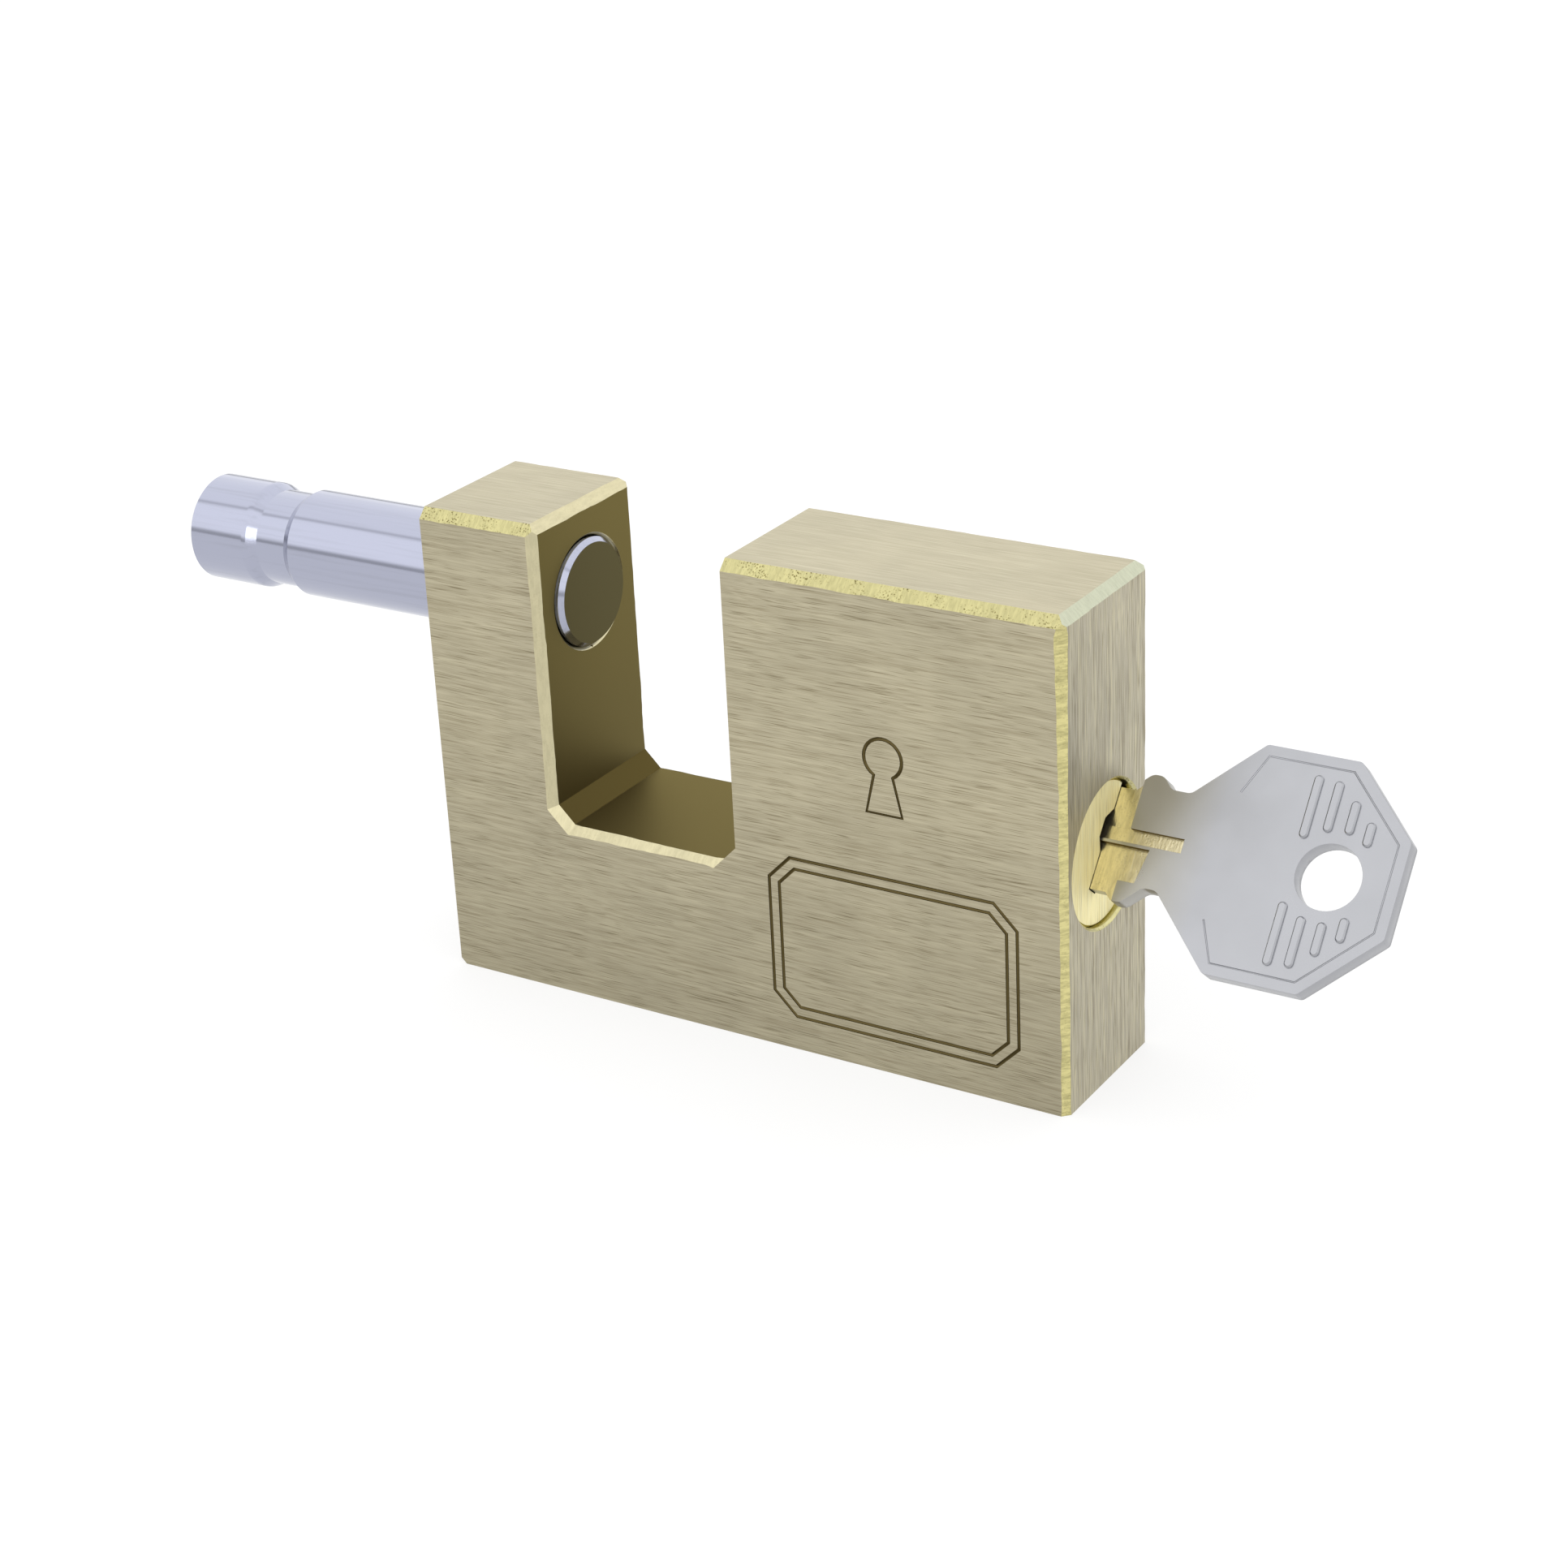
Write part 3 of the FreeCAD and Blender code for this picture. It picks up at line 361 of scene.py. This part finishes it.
def soften(piece, width):
    """Break the sharp edges by a hair, as tumbling and handling do."""
    bevel = piece.modifiers.new("edges", "BEVEL")
    bevel.width = width
    bevel.segments = 2
    bevel.limit_method = "ANGLE"
    bevel.angle_limit = SHARP_ANGLE
    bevel.harden_normals = True


body_low, body_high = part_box("lock_body")
gap_low, gap_high, gap_floor = -21.5 * MM, -0.3 * MM, 18.5 * MM
body_finishes = {
    "long": brushed_brass("belt_brushed_brass", ALONG_X, SATIN_LIGHT, SATIN_MID, SATIN_DARK,
                          spread=0.2, foot_shade=FOOT_SHADE),
    # Painted light: the top's copy of the brushed brass is lighter.
    "top": brushed_brass("belt_brushed_brass_lit_top", ALONG_X, LIT_TOP_LIGHT, SATIN_MID, LIT_TOP_DARK,
                         spread=0.2, scoring=0.25),
    "upright": brushed_brass("belt_brushed_brass_end", ALONG_Z, END_LIGHT, END_MID, END_DARK,
                             spread=0.17),
    "edge": milled_brass("milled_brass_edge", EDGE_BRASS, pits=0.9, marks_along=ALONG_X),
    "corner": milled_brass("milled_brass_corner", UPRIGHT_BRASS, pits=0.2, marks_along=ALONG_Z,
                           mark_depth=0.32),
    "cool": milled_brass("milled_brass_end", COOL_BRASS, pits=0.08, marks_along=ALONG_Y,
                         mark_depth=0.1),
    "pale": milled_brass("milled_brass_pale", PALE_BRASS, pits=0.08, marks_along=ALONG_X,
                         mark_depth=0.1),
    # Painted shade: the gap darkens towards its floor.
    "gap": stained_and_shaded_brass("stained_and_shaded_milled_brass", GAP_STAIN_SHADED_LOW, GAP_STAIN_HIGH, gap_floor, body_high[2]),
    # Painted shade in the gap's corners.
    "gap_corner": dull_and_shaded_brass("shaded_corner_brass", GAP_CORNER_SHADE),
}
slots = {name: number for number, name in enumerate(body_finishes)}
TOUCH = 0.01 * MM
CHAMFER_ROOM = 1 * MM
SQUARE_ON = 0.999
LEVEL = 0.01
DIAGONAL = math.sqrt(0.5)
SLOPE_ROOM = 0.002
TOP_ROOM = 0.6 * MM


def body_surface(face):
    """Which finish a face of the body has, from where it lies and which way it looks."""
    middle = face.calc_center_median()
    turned = [abs(part) for part in face.normal]
    flat = max(turned) > SQUARE_ON
    on_skin = [min(abs(middle[axis] - body_low[axis]), abs(middle[axis] - body_high[axis])) < TOUCH
               for axis in range(3)]
    near_gap = (gap_low - CHAMFER_ROOM < middle.x < gap_high + CHAMFER_ROOM
                and middle.z > gap_floor - CHAMFER_ROOM)
    if flat and (on_skin[1] or on_skin[2]):
        return "long" if on_skin[1] else "top"
    if flat and on_skin[0]:
        return "upright"
    if near_gap and turned[1] < LEVEL and middle.z < body_high[2] - CHAMFER_ROOM:
        return "gap" if flat else "gap_corner"
    if near_gap:
        return "pale"
    if turned[1] < LEVEL and middle.z > body_high[2] - CHAMFER_ROOM:
        return "cool"
    return "corner" if turned[2] < LEVEL else "edge"


def is_chamfer(face):
    """Whether a face is one of the 45 degree cuts along the body's front, back and top edges."""
    middle = face.calc_center_median()
    diagonal = sum(abs(abs(part) - DIAGONAL) < SLOPE_ROOM for part in face.normal) == 2
    return diagonal and (abs(middle.y) > body_high[1] - CHAMFER_ROOM
                         or middle.z > body_high[2] - TOP_ROOM)


FLARE_HEIGHT = 16 * MM
FLARE = 0.3 * MM
CORNER_TRIM = 0.06 * MM
CORNER_BAND = 1.2 * MM
FLOOR_TAPER = 0.22 * MM
FLOOR_CORNER = 1.9 * MM


def corner_flare(spot):
    """The chamfer by the key is widest near its top, and the one along the gap's floor tapers out."""
    rise = max(0.0, spot.z - (body_high[2] - FLARE_HEIGHT)) / FLARE_HEIGHT
    below_top = spot.z < body_high[2] - CORNER_BAND
    if spot.x > body_high[0] - CORNER_BAND and spot.y < 0 and below_top:
        return FLARE * rise - CORNER_TRIM
    if gap_low + FLOOR_CORNER < spot.x < gap_high - FLOOR_CORNER and spot.z < gap_floor + TOUCH:
        return -FLOOR_TAPER * (spot.x - gap_low) / (gap_high - gap_low)
    return 0.0


mesh = whole_faces("lock_body")
for face in mesh.faces:
    face.material_index = slots[body_surface(face)]
for face in [face for face in mesh.faces if is_chamfer(face)]:
    waved_chamfer(mesh, face, corner_flare)
body = placed_piece("brass_body", mesh)
for finish in body_finishes.values():
    body.data.materials.append(finish)

# The front has an engraved frame of two lines, left empty, and the outline of a keyhole above it.
# Painted shade: the engraved grooves are painted dark.
GROOVE_SHADE = "#5E5334"
ENGRAVED_WIDTH = 0.42 * MM
FRAME_LOW = (3.4, 3.6)
FRAME_HIGH = (30.0, 20.6)
FRAME_CORNER = 2.4
FRAME_STEP = 1.1
KEYHOLE_MIDDLE = (16.4, 32.8)
KEYHOLE_RADIUS = 2.0
KEYHOLE_FOOT = 5.6
KEYHOLE_HALF_FOOT = 1.9
KEYHOLE_START = -60
KEYHOLE_TURN = 300
KEYHOLE_STEPS = 24

groove_shade_finish = dull_and_shaded_brass("engraved_brass_painted_shade", GROOVE_SHADE)
cutters = []
for number in range(2):
    inset = number * FRAME_STEP
    left, low = FRAME_LOW[0] + inset, FRAME_LOW[1] + inset
    right, high = FRAME_HIGH[0] - inset, FRAME_HIGH[1] - inset
    corner = FRAME_CORNER - inset * (2 - math.sqrt(2.0))
    outline = [(left + corner, low), (right - corner, low), (right, low + corner),
               (right, high - corner), (right - corner, high), (left + corner, high),
               (left, high - corner), (left, low + corner)]
    points = [(x * MM, body_low[1], z * MM) for x, z in outline]
    cutters.append(engraved_line(f"frame_line_{number + 1}", points, groove_shade_finish,
                                 ENGRAVED_WIDTH / 2))
x, z = KEYHOLE_MIDDLE
outline = []
for step in range(KEYHOLE_STEPS + 1):
    angle = math.radians(KEYHOLE_START + KEYHOLE_TURN * step / KEYHOLE_STEPS)
    outline.append((x + KEYHOLE_RADIUS * math.cos(angle), z + KEYHOLE_RADIUS * math.sin(angle)))
outline += [(x - KEYHOLE_HALF_FOOT, z - KEYHOLE_FOOT), (x + KEYHOLE_HALF_FOOT, z - KEYHOLE_FOOT)]
points = [(across * MM, body_low[1], up * MM) for across, up in outline]
cutters.append(engraved_line("keyhole_line", points, groove_shade_finish, ENGRAVED_WIDTH / 2))
take_away(body, cutters)
soften(body, EDGE_BREAK)
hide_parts("lock_body")
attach(body, "body")

# Locking bar
# Ground round steel with a turned groove at each end, under polished hard chrome. The chrome mirrors
# the room in long lines. The inner end was sawn after plating, so it is bare and dull.

CHROME = "#A9ACBD"
CHROME_WORN = "#A2A5B4"
BARE_END = "#5F5940"
WEAR_WIDTH = 0.5 * MM
WEAR_LENGTH = 18 * MM
FACING = 0.99


def polished_chrome(name, colour, worn_colour):
    """Hard chrome over ground steel: a mirror with faint lines from use along the bar."""
    finish, tree, out = new_finish(name)
    place = add_node(tree, "TexCoord").outputs["Object"]
    line = add_node(tree, "VectorMath", {"operation": "MULTIPLY"}, at0=place,
                    at1=(1 / WEAR_LENGTH, 1 / WEAR_WIDTH, 1 / WEAR_WIDTH))
    lines = add_node(tree, "TexNoise", Vector=line.outputs[0], Scale=1.0, Detail=2.0)
    wear = add_node(tree, "MapRange", Value=lines.outputs[0], From_Min=0.5, From_Max=0.8,
                    To_Min=0.0, To_Max=1.0)
    tone = add_node(tree, "MixRGB", Fac=wear.outputs[0], Color1=linear(colour),
                    Color2=linear(worn_colour))
    rough = add_node(tree, "MapRange", Value=wear.outputs[0], To_Min=0.12, To_Max=0.2)
    metal = add_node(tree, "BsdfPrincipled", Base_Color=tone.outputs[0], Metallic=1.0,
                     Roughness=rough.outputs[0])
    tree.links.new(metal.outputs[0], out.inputs["Surface"])
    return finish


def dress_node(node, *finishes):
    """Give a CAD node's mesh its finishes, the first of them all over."""
    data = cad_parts[node].data
    data.materials.clear()
    for finish in finishes:
        data.materials.append(finish)
    return data


bar_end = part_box("locking_bar")[1][0]
bar = dress_node("locking_bar", polished_chrome("polished_hard_chrome", CHROME, CHROME_WORN),
                 dull_and_shaded_brass("bare_sawn_end", BARE_END))
for face in bar.polygons:
    face.material_index = int(face.normal.x > FACING and face.center.x > bar_end - TOUCH)

# Cylinder plug
# Turned brass, faced off and brushed, with the keyway broached through it. The walls of the keyway
# are painted dark, as painted shade in the keyway.

# Painted light: the plug's face is painted brighter than brass, to make up for the key's shade on it.
PLUG_LIT_LIGHT = "#FFFBDC"
PLUG_LIT_MID = "#FDF5C8"
PLUG_LIT_DARK = "#E8DDA0"
PLUG_RIM = "#D9CB70"
# Painted shade: the keyway's walls and the plug below its face are one dark colour.
KEYWAY_SHADE = "#4A3F20"
RIM_WIDTH = 0.3 * MM
RIM_SLOPE = 0.3

plug_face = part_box("cylinder_plug")[1][0]
plug = dress_node("cylinder_plug", dull_and_shaded_brass("keyway_painted_shade", KEYWAY_SHADE),
                  # The face's finish carries painted light.
                  brushed_brass("faced_brass_painted_light", ALONG_Z, PLUG_LIT_LIGHT, PLUG_LIT_MID, PLUG_LIT_DARK,
                                spread=0.2, roughest=0.75, scoring=0.3),
                  milled_brass("turned_brass_rim", PLUG_RIM, pits=0.1, marks_along=ALONG_X))
for face in plug.polygons:
    if face.normal.x > FACING and face.center.x > plug_face - TOUCH:
        face.material_index = 1
    elif face.center.x > plug_face - RIM_WIDTH and face.normal.x > RIM_SLOPE:
        face.material_index = 2

# Key
# Stamped from brass strip and nickel-plated, then milled and cut, so the cuts show the brass. A line
# is pressed into the bow along its border, and short bars on both sides of the hole give a grip.

NICKEL = "#A7A8AC"
NICKEL_SOILED = "#A8A69F"
MILLED_BRASS = "#DCD2AE"
# Painted shade: the walls of the milled cuts are painted dark.
MILLED_WALL_SHADE = "#5E4E26"
MILLED_END = 43.0 * MM
SOILED_TO = 40 * MM
CLEAN_FROM = 45 * MM
PLATE_CLOUD = 5 * MM
SKIN = 0.02 * MM
KEY_BREAK = 0.12 * MM

# The key's own directions, and its sizes in millimetres from the plug's axis.
KEY_TURN = math.radians(40)
KEY_AXIS = Vector((0, 0, 23.5)) * MM
KEY_WAY = Vector((0, math.sin(KEY_TURN), math.cos(KEY_TURN)))
KEY_FRONT = Vector((0, -math.cos(KEY_TURN), math.sin(KEY_TURN)))
HALF_KEY = 1.05
BOW_MIDDLE = (52.0, 1.8)
BOW_REACH = 10.9


def key_spot(x, way, out):
    """A point of the turned key, from millimetres along it, up its blade and out of its front."""
    return KEY_AXIS + Vector((x * MM, 0, 0)) + KEY_WAY * (way * MM) + KEY_FRONT * (out * MM)


def satin_nickel(name):
    """Nickel over stamped brass: satin and slightly cool, soiled next to the lock."""
    finish, tree, out = new_finish(name)
    place = add_node(tree, "TexCoord").outputs["Object"]
    cloud = add_node(tree, "TexNoise", Vector=place, Scale=1 / PLATE_CLOUD, Detail=4.0)
    along = add_node(tree, "SeparateXYZ", Vector=place).outputs["X"]
    soil = add_node(tree, "MapRange", Value=along, From_Min=SOILED_TO, From_Max=CLEAN_FROM,
                    To_Min=1.0, To_Max=0.0)
    tone = add_node(tree, "MixRGB", Fac=soil.outputs[0], Color1=linear(NICKEL),
                    Color2=linear(NICKEL_SOILED))
    rough = add_node(tree, "MapRange", Value=cloud.outputs[0], From_Min=0.3, From_Max=0.7,
                     To_Min=0.26, To_Max=0.38)
    metal = add_node(tree, "BsdfPrincipled", Base_Color=tone.outputs[0], Metallic=1.0,
                     Roughness=rough.outputs[0])
    tree.links.new(metal.outputs[0], out.inputs["Surface"])
    return finish


nickel = satin_nickel("satin_nickel_plate")
mesh = whole_faces("key")
for face in mesh.faces:
    middle = face.calc_center_median()
    out = (middle - KEY_AXIS).dot(KEY_FRONT)
    milled = SKIN < out < HALF_KEY * MM - SKIN and middle.x < MILLED_END
    # Painted shade: milled faces that don't look out of the key get the dark wall finish.
    face.material_index = (1 if face.normal.dot(KEY_FRONT) > 0.9 else 2) if milled else 0
key = placed_piece("key_blank", mesh)
key.data.materials.append(nickel)
key.data.materials.append(milled_brass("milled_key_brass", MILLED_BRASS, pits=0.2,
                                       marks_along=ALONG_X))
key.data.materials.append(dull_and_shaded_brass("milled_key_wall_painted_shade", MILLED_WALL_SHADE))

# The border line follows the eight-sided bow and stays open towards the neck.
BORDER_INSET = 1.05
BORDER_WIDTH = 0.2 * MM
BORDER_TAIL = 2

reach = BOW_REACH - BORDER_INSET
half_side = reach * math.tan(math.radians(22.5))
border = [(-reach + half_side, -half_side - BORDER_TAIL), (-half_side, -reach), (half_side, -reach),
          (reach, -half_side), (reach, half_side), (half_side, reach), (-half_side, reach),
          (-reach + half_side, half_side + BORDER_TAIL)]
cutters = []
for side in (-HALF_KEY, HALF_KEY):
    points = [key_spot(BOW_MIDDLE[0] + x, BOW_MIDDLE[1] + way, side) for x, way in border]
    cutters.append(engraved_line("bow_border", points, nickel, BORDER_WIDTH / 2, closed=False))
take_away(key, cutters)
soften(key, KEY_BREAK)
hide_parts("key")
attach(key, "plug")

# Each grip bar has its place along the key, and its near and far end from the bow's middle line.
GRIP_BARS = ((53.1, 3.0, 8.95), (55.1, 3.95, 8.75), (57.1, 4.1, 7.25), (59.0, 3.3, 5.6))
GRIP_HALF = 0.42
GRIP_RISE = 0.32
GRIP_ROOT = 0.1
GRIP_SHOULDER = 0.14
END_STEPS = 10


def grip_bar(mesh, x, start, end, side):
    """A low bar with round ends, standing on the face of the bow."""
    rings = []
    for inset, rise in ((0.0, -GRIP_ROOT), (0.0, GRIP_RISE / 2), (GRIP_SHOULDER, GRIP_RISE)):
        ring = []
        half = GRIP_HALF - inset
        out = side * (HALF_KEY + rise)
        for centre, turned in ((end - GRIP_HALF, 0.0), (start + GRIP_HALF, math.pi)):
            for step in range(END_STEPS):
                angle = math.pi * step / (END_STEPS - 1) + turned
                spot = key_spot(x + half * math.cos(angle), centre + half * math.sin(angle), out)
                ring.append(mesh.verts.new(spot))
        rings.append(ring)
    for lower, upper in zip(rings, rings[1:]):
        for number in range(len(lower)):
            mesh.faces.new((lower[number - 1], lower[number], upper[number], upper[number - 1]))
    mesh.faces.new(rings[0])
    mesh.faces.new(rings[-1])


mesh = bmesh.new()
for side in (-1, 1):
    for x, inner, outer in GRIP_BARS:
        grip_bar(mesh, x, BOW_MIDDLE[1] + inner, BOW_MIDDLE[1] + outer, side)
        grip_bar(mesh, x, BOW_MIDDLE[1] - outer, BOW_MIDDLE[1] - inner, side)
bmesh.ops.recalc_face_normals(mesh, faces=mesh.faces)
grips = placed_piece("key_grip_bars", mesh)
grips.data.materials.append(nickel)
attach(grips, "plug")

# Inner pieces
# Turned brass pins and caps, steel drivers, catch, cam and plunger, and springs of drawn wire. Only
# the caps show, flush in the body's bottom face.

TURNED_BRASS = "#D2B968"
TURNED_STEEL = "#B9B9BC"
WORN_STEEL = "#9A9A9E"

turned_finish = milled_brass("turned_brass", TURNED_BRASS, pits=0.1, marks_along=ALONG_Z)
steel_finish = polished_chrome("turned_steel", TURNED_STEEL, WORN_STEEL)
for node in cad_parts:
    if node.startswith(("key_pin", "chamber_cap", "catch_cap", "detent_cap")):
        dress_node(node, turned_finish)
    elif node not in ("lock_body", "locking_bar", "cylinder_plug", "key"):
        dress_node(node, steel_finish)

# Photographer's table
# A white table in a white room under soft, even light. The table's far edge and the seam of a ceiling
# panel give the dark lines in the chrome. The table is clear from underneath, so that the lock's
# bottom can be looked at.

PAPER = "#F4F4F4"
PAPER_GLOW = 0.7
HALF_TABLE = 3.0
TABLE_DROP = -0.02 * MM

floor_mesh = bpy.data.meshes.new("table")
corners = [(-HALF_TABLE, -HALF_TABLE, TABLE_DROP), (HALF_TABLE, -HALF_TABLE, TABLE_DROP),
           (HALF_TABLE, HALF_TABLE, TABLE_DROP), (-HALF_TABLE, HALF_TABLE, TABLE_DROP)]
floor_mesh.from_pydata(corners, [], [(0, 1, 2, 3)])
table = bpy.data.objects.new("table", floor_mesh)
bpy.context.scene.collection.objects.link(table)
paper, tree, out = new_finish("white_paper")
matt = add_node(tree, "BsdfDiffuse", Color=linear(PAPER))
glow = add_node(tree, "Emission", Color=(1, 1, 1, 1), Strength=1.0)
rays = add_node(tree, "LightPath").outputs
mirrored = add_node(tree, "Math", {"operation": "MAXIMUM"}, at0=rays["Is Glossy Ray"],
                    at1=rays["Is Transmission Ray"])
seen = add_node(tree, "Math", {"operation": "MAXIMUM"}, at0=rays["Is Camera Ray"],
                at1=mirrored.outputs[0])
share = add_node(tree, "Math", {"operation": "MULTIPLY"}, at0=seen.outputs[0], at1=PAPER_GLOW)
both = add_node(tree, "MixShader", Fac=share.outputs[0], at1=matt.outputs[0], at2=glow.outputs[0])
clear = add_node(tree, "BsdfTransparent")
under = add_node(tree, "NewGeometry").outputs["Backfacing"]
sheet = add_node(tree, "MixShader", Fac=under, at1=both.outputs[0], at2=clear.outputs[0])
tree.links.new(sheet.outputs[0], out.inputs["Surface"])
floor_mesh.materials.append(paper)

# The room is seen only in the metal: the camera sees plain white behind the lock.
ROOM_LIGHT = 1.4
FRONT_LIGHT = 1.52
EDGE_OF_TABLE = math.radians(9)
EDGE_SHADE = 0.4
PANEL_SEAM = math.radians(69)
PANEL_BLEND = math.radians(1)
SEAM_HALF = math.radians(5)
SEAM_SHADE = 0.62

world = bpy.data.worlds.new("studio")
bpy.context.scene.world = world
world.use_nodes = True
tree = world.node_tree
tree.nodes.clear()
rays = add_node(tree, "LightPath").outputs
way = add_node(tree, "SeparateXYZ", Vector=add_node(tree, "TexCoord").outputs["Generated"]).outputs
front = add_node(tree, "Math", {"operation": "MULTIPLY"}, at0=way["Y"], at1=-1.0)
swing = add_node(tree, "Math", {"operation": "ARCTAN2"}, at0=way["Z"], at1=front.outputs[0])
edge = add_node(tree, "MapRange", Value=way["Z"], From_Min=math.sin(EDGE_OF_TABLE) * 0.4,
                From_Max=math.sin(EDGE_OF_TABLE), To_Min=EDGE_SHADE, To_Max=1.0)
from_seam = add_node(tree, "Math", {"operation": "SUBTRACT"}, at0=swing.outputs[0], at1=PANEL_SEAM)
off_seam = add_node(tree, "Math", {"operation": "ABSOLUTE"}, at0=from_seam.outputs[0])
seam = add_node(tree, "MapRange", Value=off_seam.outputs[0], From_Min=PANEL_BLEND,
                From_Max=SEAM_HALF, To_Min=SEAM_SHADE, To_Max=1.0)
lit = add_node(tree, "Math", {"operation": "MULTIPLY"}, at0=edge.outputs[0], at1=seam.outputs[0])
panel = add_node(tree, "MapRange", Value=from_seam.outputs[0], From_Min=-PANEL_BLEND,
                 From_Max=PANEL_BLEND, To_Min=FRONT_LIGHT, To_Max=ROOM_LIGHT)
level = add_node(tree, "Math", {"operation": "MULTIPLY"}, at0=lit.outputs[0], at1=panel.outputs[0])
room = add_node(tree, "Background", Color=(1, 1, 1, 1), Strength=level.outputs[0])
white = add_node(tree, "Background", Color=(1, 1, 1, 1), Strength=1.0)
seen = add_node(tree, "Math", {"operation": "MAXIMUM"}, at0=rays["Is Camera Ray"],
                at1=rays["Is Transmission Ray"])
mixed = add_node(tree, "MixShader", Fac=seen.outputs[0], at1=room.outputs[0], at2=white.outputs[0])
tree.links.new(mixed.outputs[0], add_node(tree, "OutputWorld").inputs["Surface"])

LAMP_PLACE = Vector((113, -871, 215)) * MM
LAMP_WIDTH = 0.06
LAMP_HEIGHT = 0.6
LAMP_WATTS = 0.22

lamp_data = bpy.data.lights.new("front_softbox", "AREA")
lamp_data.shape = "ELLIPSE"
lamp_data.size = LAMP_WIDTH
lamp_data.size_y = LAMP_HEIGHT
lamp_data.energy = LAMP_WATTS
lamp = bpy.data.objects.new("front_softbox", lamp_data)
lamp.location = LAMP_PLACE
lamp.rotation_euler = LAMP_PLACE.to_track_quat("Z", "Y").to_euler()
bpy.context.scene.collection.objects.link(lamp)

CAMERA_PLACE = Vector((153.5, -238.6, 150.65)) * MM
CAMERA_HEADING = math.radians(32.733)
CAMERA_TILT = math.radians(65.885)
CAMERA_ROLL = math.radians(-2.841)
CAMERA_LENS = 73.54

camera_data = bpy.data.cameras.new("camera")
camera_data.lens = CAMERA_LENS
camera_data.sensor_width = 36.0
camera_data.clip_start = 0.01
camera = bpy.data.objects.new("camera", camera_data)
turned = (Matrix.Rotation(CAMERA_HEADING, 4, "Z") @ Matrix.Rotation(CAMERA_TILT, 4, "X")
          @ Matrix.Rotation(CAMERA_ROLL, 4, "Z"))
camera.matrix_world = Matrix.Translation(CAMERA_PLACE) @ turned
bpy.context.scene.collection.objects.link(camera)
bpy.context.scene.camera = camera
bpy.context.scene.view_settings.view_transform = "Standard"
